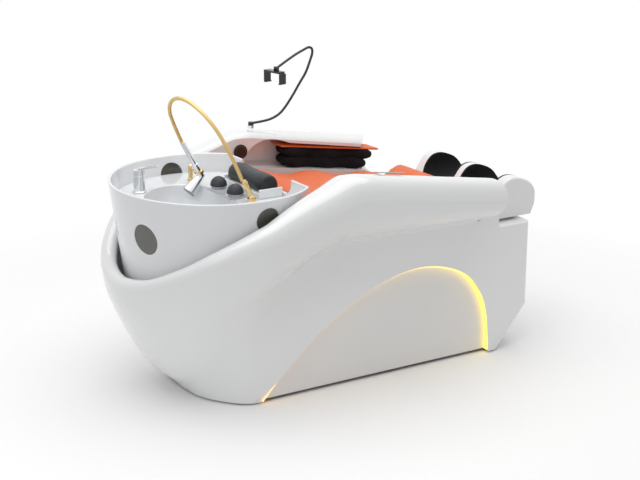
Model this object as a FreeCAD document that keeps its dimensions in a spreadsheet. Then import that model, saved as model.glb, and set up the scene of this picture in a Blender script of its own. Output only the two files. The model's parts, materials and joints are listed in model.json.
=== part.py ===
import FreeCAD, Part
import math
import os
import re

# Hair washing bed. +X runs from the head end to the foot end, +Y to the far side, +Z up.
# The origin is on the floor, under the middle of the overall box.

doc = FreeCAD.newDocument("HairWashingBed")
sheet = doc.addObject("Spreadsheet::Sheet", "Sizes")
Vector = FreeCAD.Vector
Rotation = FreeCAD.Rotation
UP = Vector(0, 0, 1)
ALONG = Vector(1, 0, 0)
ACROSS = Vector(0, 1, 0)
aliases = []
nodes = []


def size(alias, value):
    """Write one driving dimension, in millimetres unless its name says share, count or angle."""
    aliases.append(alias)
    row = str(len(aliases))
    sheet.set("A" + row, alias)
    sheet.set("B" + row, str(value))
    sheet.setAlias("B" + row, alias)


# Tub: a raked round bow, a rolled rim that rises to the two arms, a low foot end
size("floor_gap", 8)
size("base_half_width", 358)
size("base_bow_reach", 165)
size("shell_wall", 18)
size("bow_centre", -480)
size("bow_rim_top", 512)
size("arm_top", 922)
size("arm_end_top", 818)
size("arm_inner_half", 400)
size("bow_roll_width", 66)
size("arm_roll_width", 155)
size("arm_lip_drop", 22)
size("arm_end", 600)
size("foot_end", 870)
size("ledge_height", 561)
size("foot_undercut_length", 150)
size("foot_undercut_height", 180)
size("foot_corner_radius", 40)
size("overrun", 5)

# Arm troughs
size("trough_start", -115)
size("trough_height", 95)
size("trough_roof_wall", 59)
size("trough_depth_half", 512)
size("trough_round", 60)

# Light arch in each side
size("arch_start", -452)
size("arch_end", 656)
size("arch_height", 446)
size("arch_sill", 14)
size("panel_depth", 12)
size("panel_sheet", 6)
size("panel_flange", 22)
size("strip_thickness", 5)
size("strip_width", 24)

# Basin
size("basin_half_length", 397)
size("basin_half_width", 433)
size("basin_rim", 852)
size("basin_foot", 392)
size("basin_wall", 12)
size("rim_gap", 14)
size("neck_wall", -222)
size("neck_dip_half", 205)
size("neck_dip_floor", 790)
size("dip_round", 45)
size("deck_height", 775)
size("deck_sheet", 10)
size("bowl_half_length", 168)
size("bowl_half_width", 240)
size("bowl_centre", -565)
size("bowl_floor", 605)
size("drain_radius", 30)
size("window_radius", 61)
size("side_window_radius", 48)
size("window_sheet", 5)

# Frame, feet, board and tray under the bed
size("foot_radius", 24)
size("foot_pad_height", 12)
size("foot_stem_radius", 6)
size("frame_floor", 20)
size("frame_tube", 40)
size("frame_half_width", 288)
size("frame_head", -420)
size("keel_half_width", 105)
size("keel_head", -585)
size("board_sheet", 15)
size("board_half_width", 330)
size("bed_start", -200)
size("platform_sheet", 12)
size("tray_sheet", 3)
size("tray_half_width", 150)
size("pump_length", 190)
size("pump_width", 120)
size("pump_height", 105)
size("supply_length", 160)
size("supply_width", 110)
size("supply_height", 62)
size("inlet_length", 130)
size("inlet_depth", 50)
size("inlet_height", 34)
size("inlet_thread_radius", 10.5)
size("inlet_stub", 25)
size("inlet_spacing", 90)

# Upholstery
size("pad_drop", 156)
size("pad_end", 540)
size("pad_half_width", 376)
size("pad_thickness", 110)
size("pad_crown", 12)
size("knee_start", 545)
size("knee_end", 682)
size("knee_half_width", 318)
size("knee_rise", 34)
size("soft_gap", 0.3)
size("lining_sheet", 10)
size("cushion_start", 92)
size("cushion_over", 24)
size("cushion_depth", 112)
size("cushion_edge", 14)
size("end_narrowing", 14)
size("end_drop", 20)

# Neck rest and head rest
size("pillow_half_length", 143)
size("pillow_width", 88)
size("pillow_height", 68)
size("saddle_head", -344)
size("saddle_foot", -238)
size("saddle_top", 797)
size("saddle_cheek", 8)
size("dome_x", -408)
size("dome_y", 71)
size("dome_radius", 34)
size("dome_height", 38)
size("stand_sheet", 8)
size("cup_radius", 28)
size("cup_height", 10)

# Water fittings
size("drain_depth", 8)
size("flange_radius", 38)
size("flange_wall", 3)
size("trap_radius", 32)
size("trap_height", 70)
size("waste_radius", 20)
size("waste_end", 42)
size("strainer_hole_radius", 3)
size("mixer_x", -697)
size("mixer_y", 200)
size("mixer_radius", 23)
size("mixer_height", 92)
size("mixer_cap_height", 22)
size("mixer_collar", 6)
size("lever_reach", 84)
size("lever_width", 16)
size("lever_sheet", 6)
size("lever_pin_radius", 2.5)
size("pin_gap", 0.05)
size("holder_x", -438)
size("holder_y", 262)
size("holder_radius", 10)
size("ring_x", -450)
size("ring_y", 160)
size("ring_z", 835)
size("fork_wall", 7)
size("fork_height", 10)
size("handset_radius", 14)
size("handle_radius", 11)
size("handle_length", 150)
size("sleeve_length", 40)
size("neck_offset", 20)
size("spray_length", 82)
size("spray_radius", 30)
size("spray_sheet", 5)
size("handle_lean_angle", 28.7)
size("spray_lean_angle", 223.5)
size("fit_gap", 0.3)
size("nut_x", -376)
size("nut_y", -148)
size("nut_radius", 13)
size("nut_collar", 10)
size("nut_lean_angle", 25.3)
size("fitting_length", 92)
size("hose_radius", 7.5)

# Points of the hose from the handset's end over to its fitting on the deck
HOSE_SPOTS = [(-524, 160, 968), (-566, 138, 1044), (-615, 83, 1127), (-638, -10, 1186), (-631, -97, 1197),
              (-607, -169, 1167), (-576, -206, 1119), (-541, -219, 1061), (-500, -207, 991),
              (-449, -173, 914), (-417, -148, 860)]
for number, spot in enumerate(HOSE_SPOTS):
    for axis, value in zip("xyz", spot):
        size("hose_%s_%s" % (axis, chr(ord("a") + number)), value)

# Control and strip
size("control_x", -132)
size("control_z", 832)
size("control_seat", 405)
size("control_radius", 31)
size("control_wall", 6)
size("control_depth", 12)
size("button_travel", 2)
size("turn_gap", 0.2)
size("strip_start", 0)
size("strip_length", 130)
size("strip_middle", -452)
size("control_strip_width", 36)
size("control_strip_sheet", 3)

# Phone holder
size("clamp_x", -24)
size("clamp_y", 500)
size("clamp_radius", 15)
size("clamp_base_height", 12)
size("clamp_sink", 3)
size("hub_radius", 12)
size("hub_height", 15)
size("hub_pin_radius", 5)
size("gooseneck_radius", 5.5)
size("clip_turn_angle", -78.8)
size("clip_span", 108)
size("clip_jaw", 46)
size("clip_height", 34)
size("clip_sheet", 8)
size("clip_travel", 28)
size("barrel_radius", 7)
size("barrel_length", 14)
size("cheek_sheet", 3)
size("clip_pin_radius", 3)

# Shares of the clip: the plate behind its pin, its hooks' reach in sheets, rail and neck on the plate
CLIP_BACK_SHARE = 0.76
HOOK_SHARE = 1.6
RAIL_SHARES = (0.3, 0.7)
NECK_SHARES = (0.4, 0.6)

# Points of the bent arm from its clamp to the clip
ARM_SPOTS = [(-16, 500, 927), (42, 500, 930), (82, 500, 936), (123, 500, 954), (154, 500, 985),
             (190, 500, 1031), (221, 500, 1077), (258, 500, 1127), (278, 500, 1175), (291, 500, 1209),
             (289, 500, 1231), (270, 498, 1238), (238, 492, 1228), (196, 482, 1215), (135, 464, 1192),
             (76, 446, 1168)]
for number, spot in enumerate(ARM_SPOTS):
    for axis, value in zip("xyz", spot):
        size("bend_%s_%s" % (axis, chr(ord("a") + number)), value)

# Leg rest
size("rest_start", 704)
size("rest_end", 930)
size("rest_half_width", 302)
size("rest_wall", 52)
size("rest_bottom", 574)
size("rest_top", 746)
size("well_floor", 640)
size("well_round", 70)
size("liner_sheet", 12)
size("shaft_x", 722)
size("shaft_z", 592)
size("shaft_radius", 10)
size("shaft_gap", 0.05)
size("bracket_sheet", 12)
size("bracket_y", 150)
size("bracket_radius", 20)
size("bracket_foot", 6)
size("bracket_foot_half", 22)
size("shaft_half", 210)
size("well_inner", 17)
size("well_outer", 250)
size("stop_y", 230)
size("stop_radius", 16)
size("bolt_radius", 5)
size("bolt_head", 3)
doc.recompute()

TAPER_SHARE = 0.127


def val(alias):
    """Read one size back from the sheet."""
    return float(sheet.get(alias))


def expr(text):
    """Turn plain size names in a text into cell references."""
    return re.sub(r"[a-z_]+", lambda m: "Sizes." + m.group() if m.group() in aliases else m.group(), text)


def bind(obj, at=None, **props):
    """Bind an object's properties and its place to the sheet."""
    for prop, text in props.items():
        obj.setExpression(prop, expr(text))
    if at:
        for axis, text in zip("xyz", at):
            obj.setExpression("Placement.Base." + axis, expr(text))
    return obj


def prim(kind, name, at=("0", "0", "0"), turn=None, **props):
    """A box, cylinder, cone, torus or sphere whose sizes and place follow the sheet."""
    obj = doc.addObject("Part::" + kind, name)
    if turn:
        obj.Placement = FreeCAD.Placement(Vector(0, 0, 0), turn)
    return bind(obj, at, **props)


def block(name, low, high):
    """A box between two corners given as expressions."""
    lengths = ["(" + h + ") - (" + l + ")" for l, h in zip(low, high)]
    return prim("Box", name, low, Length=lengths[0], Width=lengths[1], Height=lengths[2])


def cut(name, base, tool):
    obj = doc.addObject("Part::Cut", name)
    obj.Base = base
    obj.Tool = tool
    return obj


def fuse(name, *shapes):
    obj = doc.addObject("Part::MultiFuse", name)
    obj.Shapes = list(shapes)
    return obj


def common(name, *shapes):
    obj = doc.addObject("Part::MultiCommon", name)
    obj.Shapes = list(shapes)
    return obj


def mirror(name, source):
    """The same form on the far side, mirrored in the plane along the bed's middle."""
    obj = doc.addObject("Part::Mirroring", name)
    obj.Source = source
    obj.Normal = ACROSS
    return obj


def group(name, *shapes):
    """Several separate solids that share one node."""
    obj = doc.addObject("Part::Compound", name)
    obj.Links = list(shapes)
    return obj


def made(name, shape):
    """A form that is worked out in code from the sheet's sizes."""
    obj = doc.addObject("Part::Feature", name)
    obj.Shape = shape
    obj.Placement = FreeCAD.Placement()
    return obj


def node(obj, label):
    """Keep an object as one sub-part under its own name."""
    obj.Label = label
    nodes.append(obj)
    return obj


def blend(low, high, share):
    return low + (high - low) * share


def spline(points):
    """One smooth edge through a few points."""
    curve = Part.BSplineCurve()
    curve.interpolate(points)
    return curve.toShape()


def ellipse_wire(centre_x, half_x, half_y, z):
    """A level oval as four quarter edges, so that lofts between ovals line up."""
    points = []
    for step in range(8):
        angle = math.radians(45 * step)
        points.append(Vector(centre_x + half_x * math.cos(angle), half_y * math.sin(angle), z))
    curve = Part.BSplineCurve()
    curve.interpolate(points, PeriodicFlag=True)
    return Part.Wire([curve.toShape()])


def basin_wire(inset, z):
    """The basin's outline at a height: an oval that is cut flat towards the bed."""
    drop = (val("basin_rim") - z) * TAPER_SHARE
    half_x = val("basin_half_length") - inset - drop
    half_y = val("basin_half_width") - inset - drop
    front = val("neck_wall") - inset - val("bow_centre")
    corner = math.acos(front / half_x)
    points = []
    count = 8
    for step in range(count + 1):
        angle = corner + (2 * math.pi - 2 * corner) * step / count
        points.append(Vector(val("bow_centre") + half_x * math.cos(angle), half_y * math.sin(angle), z))
    back = spline(points)
    face = Part.makeLine(points[-1], points[0])
    return Part.Wire([back, face])


# Shares along the tub's half, from the bow round to the arm: the angle from the bow or the place
# along the straight, how far the base, the rim height and the roll's swell have gone
BOW_STEPS = [
    (0.0, 0.00, 0.00, 0.00),
    (22.5, 0.06, 0.045, 0.00),
    (45.0, 0.25, 0.19, 0.05),
    (67.5, 0.52, 0.375, 0.20),
    (90.0, 0.87, 0.575, 0.45),
]
SIDE_STEPS = [
    (0.13, 0.98, 0.775, 0.70),
    (0.24, 1.0, 0.90, 0.88),
    (0.34, 1.0, 0.98, 0.98),
    (0.42, 1.0, 1.0, 1.0),
]
# The outer wall from floor to widest point: height share, and how far out of the way it has come,
# for the round belly of the bow and for the upright side below an arm
HULL_HEIGHT_SHARES = [0.0, 0.07, 0.26, 0.52, 0.80, 1.0]
BOW_OUT_SHARES = [0.0, 0.12, 0.46, 0.72, 0.94, 1.0]
SIDE_HEIGHT_SHARES = [0.0, 0.25, 0.50, 0.72, 0.84, 1.0]
SIDE_OUT_SHARES = [0.0, 0.0, 0.0, 0.05, 0.62, 1.0]
INNER_HEIGHT_SHARES = [1.0, 0.86, 0.62, 0.30, 0.0]


def basin_reach(angle, z):
    """How far the basin's outside stands from its middle, in one direction at one height."""
    drop = (val("basin_rim") - z) * TAPER_SHARE
    half_x = val("basin_half_length") - drop
    half_y = val("basin_half_width") - drop
    return 1 / math.hypot(math.cos(angle) / half_x, math.sin(angle) / half_y)


def basin_side(along, z):
    """How far the basin stands to the side at a place along the bed, or nothing past its flat front."""
    drop = (val("basin_rim") - z) * TAPER_SHARE
    offset = along - val("bow_centre")
    if along > val("neck_wall") + val("overrun"):
        return 0
    half_x = val("basin_half_length") - drop
    return (val("basin_half_width") - drop) * math.sqrt(1 - (offset / half_x) ** 2)


def reach_at(profile, z):
    """How far out a wall profile stands at one height."""
    for (low_reach, low_z), (high_reach, high_z) in zip(profile, profile[1:]):
        if z <= high_z:
            return blend(low_reach, high_reach, (z - low_z) / (high_z - low_z))
    return profile[-1][0]


def tub_section(place, base_share, rise_share, swell_share, side):
    """One upright section through the tub's wall; side is -1 near, 1 far."""
    rim_top = blend(val("bow_rim_top"), val("arm_top"), rise_share)
    if isinstance(place, tuple):
        along = blend(val("bow_centre"), val("arm_end"), place[0])
        fall = max(0.0, (along - val("trough_start")) / (val("arm_end") - val("trough_start")))
        rim_top -= (val("arm_top") - val("arm_end_top")) * fall
        start_in = basin_reach(math.pi / 2, rim_top) + val("rim_gap")
        inner = blend(start_in, val("arm_inner_half"), min(1.0, place[0] / SIDE_STEPS[2][0]))
        out = Vector(0, side, 0)
        foot = Vector(along, 0, 0)
    else:
        angle = math.pi - math.radians(place)
        inner = basin_reach(angle, rim_top) + val("rim_gap")
        out = Vector(math.cos(angle), side * math.sin(angle), 0)
        foot = Vector(val("bow_centre"), 0, 0)
    width = blend(val("bow_roll_width"), val("arm_roll_width"), swell_share)
    widest = inner + width
    base = blend(val("base_bow_reach"), val("base_half_width"), base_share)
    low = val("floor_gap")
    half_roll = blend(val("bow_roll_width") / 2, val("arm_roll_width"), swell_share)
    widest_z = rim_top - half_roll

    def point(reach, z):
        return foot + out * reach + UP * z

    outer = []
    for row in range(6):
        height_share = blend(HULL_HEIGHT_SHARES[row], SIDE_HEIGHT_SHARES[row], swell_share)
        out_share = blend(BOW_OUT_SHARES[row], SIDE_OUT_SHARES[row], swell_share)
        outer.append((blend(base, widest, out_share), blend(low, widest_z, height_share)))
    crest = point(blend(inner, widest, blend(0.5, 0.64, swell_share)), rim_top)
    shoulder = point(blend(inner, widest, 0.93), blend(widest_z, rim_top, 0.62))
    lip_z = rim_top - blend(val("bow_roll_width") / 2, val("arm_lip_drop"), swell_share)
    lip = point(inner, lip_z)
    neck = point(blend(inner, widest, 0.17), blend(lip_z, rim_top, 0.72))
    inside = [lip]
    wall = val("shell_wall")
    arm_in = [val("arm_inner_half"), val("arm_inner_half"), val("base_half_width") - wall]
    for row in range(1, 5):
        z = blend(low, lip_z, INNER_HEIGHT_SHARES[row])
        thin = reach_at(outer, z) - wall
        room = basin_side(along, z) if isinstance(place, tuple) else basin_reach(angle, z)
        reach = max(blend(thin, arm_in[min(row, 2)], swell_share), min(thin, room + val("rim_gap")))
        inside.append(point(reach, z))
    outer = [point(reach, z) for reach, z in outer]
    edges = [
        spline(outer),
        spline([outer[-1], shoulder, crest, neck, lip]),
        spline(inside),
        Part.makeLine(inside[-1], outer[0]),
    ]
    return Part.Wire(edges)


def tub_loft():
    """The horseshoe wall: a smooth loft round the bow and a straight arm on each side."""
    stations = []
    for place, base_share, rise, swell in reversed(SIDE_STEPS):
        stations.append(tub_section((place,), base_share, rise, swell, -1))
    for place, base_share, rise, swell in reversed(BOW_STEPS):
        stations.append(tub_section(place, base_share, rise, swell, -1))
    for place, base_share, rise, swell in BOW_STEPS[1:]:
        stations.append(tub_section(place, base_share, rise, swell, 1))
    for place, base_share, rise, swell in SIDE_STEPS:
        stations.append(tub_section((place,), base_share, rise, swell, 1))
    horseshoe = Part.makeLoft(stations, True, False)
    start = SIDE_STEPS[-1]
    for side, wire in ((-1, stations[0]), (1, stations[-1])):
        end = tub_section((1.0,), start[1], start[2], start[3], side)
        horseshoe = horseshoe.fuse(Part.makeLoft([wire, end], True, True))
    return horseshoe


def arch_points(grow):
    """The light arch's outline from its head foot over the top to its foot end."""
    start = val("arch_start") - grow
    end = val("arch_end") + grow
    sill = val("arch_sill")
    top = val("arch_height") + grow
    shares = [(0.0, 0.0), (0.19, 0.47), (0.38, 0.79), (0.57, 0.97), (0.68, 1.0), (0.79, 0.95),
              (0.90, 0.80), (0.97, 0.53), (1.0, 0.0)]
    return [(blend(start, end, x), blend(sill, top, z)) for x, z in shares]


def arch_solid(grow, y_low, y_high, bottom):
    """A slab with the arch's outline between two depths, closed along a level line below."""
    points = [Vector(x, y_low, z) for x, z in arch_points(grow)]
    corners = [points[-1], Vector(points[-1].x, y_low, bottom), Vector(points[0].x, y_low, bottom),
               points[0]]
    edges = [spline(points)]
    for first, second in zip(corners, corners[1:]):
        if (second - first).Length > 0:
            edges.append(Part.makeLine(first, second))
    return Part.Face(Part.Wire(edges)).extrude(Vector(0, y_high - y_low, 0))


def foot_tub():
    """The low foot end: upright walls, an undercut toe and a closed ledge on top."""
    low = val("floor_gap")
    join = val("arm_end")
    end = val("foot_end")
    half = val("base_half_width")
    wall = val("shell_wall")
    cut_x = val("foot_undercut_length")
    cut_z = val("foot_undercut_height")

    def side_profile(inset, bottom, top):
        corners = [(join, bottom), (end - cut_x - inset, bottom), (end - inset, cut_z + inset),
                   (end - inset, top), (join, top)]
        return [Vector(x, 0, z) for x, z in corners]

    def shell(inset, bottom, top):
        points = side_profile(inset, bottom, top)
        width = half - inset
        face = Part.Face(Part.makePolygon([p - ACROSS * width for p in points + points[:1]]))
        return face.extrude(ACROSS * 2 * width)

    outer = shell(0, low, val("ledge_height"))
    upright = [edge for edge in outer.Edges if is_upright(edge, end)]
    outer = outer.makeFillet(val("foot_corner_radius"), upright)
    inner = shell(wall, low - val("overrun"), val("ledge_height") - wall)
    inner_edges = [edge for edge in inner.Edges if is_upright(edge, end - wall)]
    inner = inner.makeFillet(val("foot_corner_radius") - wall, inner_edges)
    return outer.cut(inner)


def is_upright(edge, x):
    """Tell whether an edge stands upright at one place along the bed."""
    box = edge.BoundBox
    return abs(box.XMax - x) < 1e-6 and abs(box.XMin - x) < 1e-6 and box.ZLength > box.YLength


def arm_line(x, drop):
    """A height that follows the slope of the arm's top, a set drop below it."""
    slope = (val("arm_top") - val("arm_end_top")) / (val("arm_end") - val("trough_start"))
    return val("arm_top") - slope * (x - val("trough_start")) - drop


def flip(shape):
    """The same form on the near side."""
    return shape.mirror(Vector(0, 0, 0), ACROSS)


def trough():
    """The hollow of the far arm, open to the bed and to the foot end."""
    start = val("trough_start")
    end = val("arm_end") + val("overrun")
    roof = val("trough_roof_wall")
    floor = roof + val("trough_height")
    bend = val("trough_round")
    near = val("arm_inner_half") - val("overrun") * 3
    a = Vector(start, near, arm_line(start, floor))
    b = Vector(start, near, arm_line(start, roof) - bend)
    c = Vector(start + bend, near, arm_line(start + bend, roof))
    d = Vector(end, near, arm_line(end, roof))
    e = Vector(end, near, arm_line(end, floor))
    inset = bend * (1 - math.sqrt(0.5))
    middle = Vector(start + inset, near, c.z - inset)
    edges = [Part.makeLine(a, b), Part.Arc(b, middle, c).toShape(), Part.makeLine(c, d),
             Part.makeLine(d, e), Part.makeLine(e, a)]
    return Part.Face(Part.Wire(edges)).extrude(ACROSS * (val("trough_depth_half") - near))


def clamp_floor():
    """The level seat that is cut into the far arm's top for the phone holder."""
    return arm_line(val("clamp_x"), val("clamp_sink"))


def body_shell():
    shape = tub_loft().fuse(foot_tub())
    half = val("base_half_width")
    inner = half - val("shell_wall")
    flange = val("panel_flange") + val("overrun")
    arch = arch_solid(0, inner - val("overrun"), half + val("arm_roll_width"), 0)
    seat = arch_solid(flange, inner - val("arm_roll_width"), inner, 0)
    spot = Part.makeCylinder(val("control_radius") + val("control_wall") / 2, val("overrun") * 6,
                             Vector(val("control_x"), val("control_seat"), val("control_z")), -ACROSS)
    clamp_seat = Part.makeCylinder(val("clamp_radius") + val("clamp_sink"), val("overrun") * 6,
                                   Vector(val("clamp_x"), val("clamp_y"), clamp_floor()))
    hollow = trough()
    for tool in (arch, flip(arch), seat, flip(seat), hollow, flip(hollow), spot, clamp_seat):
        shape = shape.cut(tool)
    return shape


def control_strip_form(shell_form):
    """A thin strip let into the near arm's top, following its curve."""
    zone = Part.makeBox(val("strip_length"), val("control_strip_width"), val("arm_top"),
                        Vector(val("strip_start"), val("strip_middle") - val("control_strip_width") / 2,
                               arm_line(val("strip_start"), val("trough_roof_wall") * 0.9)))
    top = shell_form.common(zone)
    lower = top.copy()
    lower.translate(Vector(0, 0, -val("control_strip_sheet")))
    return top.cut(lower)


shell_form = body_shell()
strip_form = control_strip_form(shell_form)
shell_form = shell_form.cut(strip_form)
node(made("shell_shape", shell_form), "body_shell")
node(made("strip_shape", strip_form), "control_strip")
print("shell", shell_form.isValid(), len(shell_form.Solids), round(shell_form.Volume / 1e6, 2), "litres")


# Light panels and strips
def light_panel():
    """A shallow dish behind the arch, open below, with a flange against the shell's inner face."""
    inner = val("base_half_width") - val("shell_wall")
    sheet_y = val("panel_sheet")
    back = inner - val("panel_depth") - sheet_y
    sill = val("arch_sill")
    flange = arch_solid(val("panel_flange"), inner - sheet_y, inner, sill)
    dish = arch_solid(sheet_y, back, inner, sill)
    hollow = arch_solid(0, back + sheet_y, inner, sill - val("overrun"))
    return flange.fuse(dish).cut(hollow)


def light_strip():
    """A band that follows the arch's edge inside the recess, open along the bottom."""
    inner = val("base_half_width") - val("shell_wall")
    back = inner - val("panel_depth")
    front = back + val("strip_width")
    sill = val("arch_sill")
    outer = arch_solid(-val("soft_gap"), back, front, sill)
    hollow = arch_solid(-val("strip_thickness"), back, front, sill - val("overrun"))
    return outer.cut(hollow)


panel_form = light_panel()
light_form = light_strip()
node(made("panel_far_shape", panel_form), "light_panel_far")
node(made("panel_near_shape", flip(panel_form)), "light_panel_near")
node(made("light_far_shape", light_form), "light_strip_far")
node(made("light_near_shape", flip(light_form)), "light_strip_near")


# Base frame, feet, board and what stands on them
rail_top = "frame_floor + frame_tube"
tail_x = "foot_end - foot_undercut_length - shell_wall - overrun"
rail_inner = "frame_half_width - frame_tube"
far_rail = block("far_rail", ("frame_head", rail_inner, "frame_floor"),
                 (tail_x, "frame_half_width", rail_top))
near_rail = block("near_rail", ("frame_head", "-frame_half_width", "frame_floor"),
                  (tail_x, "-(frame_half_width - frame_tube)", rail_top))
keel_far = block("keel_far", ("keel_head", "keel_half_width - frame_tube", "frame_floor"),
                 ("frame_head + frame_tube", "keel_half_width", rail_top))
keel_near = block("keel_near", ("keel_head", "-keel_half_width", "frame_floor"),
                  ("frame_head + frame_tube", "frame_tube - keel_half_width", rail_top))
frame_pieces = [far_rail, near_rail, keel_far, keel_near]
CROSS_SHARES = (0.0, 0.38, 0.74)
for number, share in enumerate(CROSS_SHARES):
    start = "frame_head + (" + tail_x + " - frame_tube - frame_head) * " + str(share)
    frame_pieces.append(block("cross_%d" % number, (start, "-frame_half_width", "frame_floor"),
                              (start + " + frame_tube", "frame_half_width", rail_top)))
    for side, low_y in (("near", "-frame_half_width"), ("far", rail_inner)):
        if number == 0:
            continue
        frame_pieces.append(block("post_%s_%d" % (side, number), (start, low_y, "frame_floor"),
                                  (start + " + frame_tube", low_y + " + frame_tube", "arm_end")))
head_post = "bed_start + overrun"
for side, low_y in (("near", "-frame_half_width"), ("far", rail_inner)):
    frame_pieces.append(block("head_post_" + side, (head_post, low_y, "frame_floor"),
                              (head_post + " + frame_tube", low_y + " + frame_tube", "arm_end_top")))
for side, low_y in (("near", "-keel_half_width"), ("far", "keel_half_width - frame_tube")):
    for end, low_x in (("head", "keel_head"), ("foot", "frame_head")):
        frame_pieces.append(block("basin_post_%s_%s" % (side, end), (low_x, low_y, "frame_floor"),
                                  (low_x + " + frame_tube", low_y + " + frame_tube",
                                   "basin_foot - platform_sheet")))
plate_form = Part.Face(basin_wire(val("basin_wall") / 2, val("basin_foot"))).extrude(-UP * val("platform_sheet"))
waste_hole = prim("Cylinder", "waste_hole", ("bowl_centre", "0", "basin_foot - frame_tube"),
                  Radius="waste_radius * 2", Height="frame_tube * 2")
node(cut("platform_plate", made("platform", plate_form), waste_hole), "basin_platform")
rough_frame = fuse("rough_frame", *frame_pieces)


def bed_slab(drop_top, drop_bottom, x_end, half):
    """A slab along the bed's pitch between two drops below the line of the arm's top."""
    start = val("bed_start")
    corners = [(start, drop_top), (x_end, drop_top), (x_end, drop_bottom), (start, drop_bottom)]
    points = [Vector(x, -half, arm_line(x, drop)) for x, drop in corners]
    return Part.Face(Part.makePolygon(points + points[:1])).extrude(ACROSS * 2 * half)


board_drop = val("pad_drop") + val("pad_thickness")
board_form = bed_slab(board_drop, board_drop + val("board_sheet"), val("pad_end"), val("board_half_width"))
clear_form = bed_slab(0, board_drop + val("board_sheet"), val("foot_end"), val("board_half_width"))
node(cut("frame_shape", rough_frame, made("above_board", clear_form)), "base_frame")
node(made("board_shape", board_form), "bed_board")


# Upholstery. Every cushion is a loft of sections with a crowned top and rounded edges.
def cushion_section(x, half_low, half_high, low, top, crown):
    """A level-bottomed section across the bed: slanted sides, rounded edges and a crown."""
    edge = val("cushion_edge")
    side_top = top - edge
    soft = (crown - side_top) * 0.6
    a = Vector(x, -half_low, low)
    b = Vector(x, half_low, low)
    c = Vector(x, half_high, side_top)
    shoulder = Vector(x, half_high - edge * 0.4, side_top + soft * 0.7)
    d = Vector(x, half_high - edge * 1.3, side_top + soft)
    side = Vector(x, (half_low + half_high) / 2 + edge * 0.25, (low + side_top) / 2)

    def near(point):
        return Vector(point.x, -point.y, point.z)

    edges = [
        Part.makeLine(a, b),
        Part.Arc(b, side, c).toShape(),
        Part.Arc(c, shoulder, d).toShape(),
        Part.Arc(d, Vector(x, 0, crown), near(d)).toShape(),
        Part.Arc(near(d), near(shoulder), near(c)).toShape(),
        Part.Arc(near(c), near(side), a).toShape(),
    ]
    return Part.Wire(edges)


def bed_top(x):
    """The pad's edge line, which falls with the arms."""
    return arm_line(x, val("pad_drop"))


# Place along the cushion, how far its end has drawn in, how far its top has dropped
PAD_STEPS = [(0.0, 1.0, 1.0), (0.03, 0.3, 0.3), (0.12, 0.0, 0.0), (0.5, 0.1, 0.0), (0.88, 0.0, 0.0),
             (0.97, 0.2, 0.3), (1.0, 0.8, 1.0)]
# Place along the bolster, how high its ridge stands, how far its end has drawn in
KNEE_STEPS = [(0.0, 0.05, 0.5), (0.3, 0.6, 0.0), (0.6, 1.0, 0.0), (0.85, 0.75, 0.0), (1.0, 0.1, 0.6)]


def bed_pad():
    sections = []
    for share, narrow_share, drop_share in PAD_STEPS:
        x = blend(val("bed_start"), val("pad_end"), share)
        top = bed_top(x) - val("end_drop") * drop_share
        low = bed_top(x) - val("pad_thickness") + val("soft_gap")
        half = val("pad_half_width") - val("end_narrowing") * narrow_share
        half_low = val("board_half_width") - val("end_narrowing") * narrow_share
        sections.append(cushion_section(x, half_low, half, low, top, top + val("pad_crown")))
    return Part.makeLoft(sections, True, False)


def knee_bolster():
    sections = []
    start = val("knee_start")
    low = val("ledge_height") + val("soft_gap")
    for share, height_share, narrow_share in KNEE_STEPS:
        x = blend(start, val("knee_end"), share)
        top = bed_top(start) + val("knee_rise") * height_share
        half = val("knee_half_width") - val("end_narrowing") * narrow_share
        sections.append(cushion_section(x, half, half, low, top, top + val("pad_crown") / 2))
    return Part.makeLoft(sections, True, False)


ARM_ROUND_SHARE = 0.8
# Place along an arm cushion and how full it is there
ARM_STEPS = [(0.0, 0.45), (0.03, 0.80), (0.10, 1.0), (0.5, 0.95), (0.9, 1.0), (0.97, 0.8), (1.0, 0.45)]


def arm_section(x, y_low, y_high, low, high):
    """A rounded upright section through an arm cushion."""
    r = (high - low) / 2 * ARM_ROUND_SHARE
    mid = r * (1 - math.sqrt(0.5))
    corners = [
        (Vector(x, y_high - r, low), Vector(x, y_high - mid, low + mid), Vector(x, y_high, low + r)),
        (Vector(x, y_high, high - r), Vector(x, y_high - mid, high - mid), Vector(x, y_high - r, high)),
        (Vector(x, y_low + r, high), Vector(x, y_low + mid, high - mid), Vector(x, y_low, high - r)),
        (Vector(x, y_low, low + r), Vector(x, y_low + mid, low + mid), Vector(x, y_low + r, low)),
    ]
    edges = []
    for index, (first, middle, last) in enumerate(corners):
        edges.append(Part.Arc(first, middle, last).toShape())
        edges.append(Part.makeLine(last, corners[(index + 1) % 4][0]))
    return Part.Wire(edges)


def arm_cushion(drop_low, drop_high):
    """A fat black air cushion that lies along the arm and stands out at its foot end."""
    start = val("cushion_start")
    end = val("arm_end") + val("cushion_over")
    depth = val("cushion_depth")
    back = val("trough_depth_half") - val("soft_gap")
    sections = []
    for share, swell in ARM_STEPS:
        x = blend(start, end, share)
        low = arm_line(x, drop_low)
        high = arm_line(x, drop_high)
        middle = (low + high) / 2
        half = (high - low) / 2 * swell
        shrink = (1 - swell) * depth / 4
        sections.append(arm_section(x, back - depth + shrink, back - shrink, middle - half, middle + half))
    return Part.makeLoft(sections, True, False)


def arm_lining():
    """The orange pad under the arm's roof."""
    drop = val("trough_roof_wall") + val("soft_gap")
    back = val("trough_depth_half") - val("soft_gap")
    sections = []
    for x in (val("cushion_start") - val("lining_sheet") * 2, val("arm_end") - val("lining_sheet")):
        sections.append(arm_section(x, back - val("cushion_depth") + val("lining_sheet") / 2, back,
                                    arm_line(x, drop + val("lining_sheet")), arm_line(x, drop)))
    return Part.makeLoft(sections, True, True)


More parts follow.
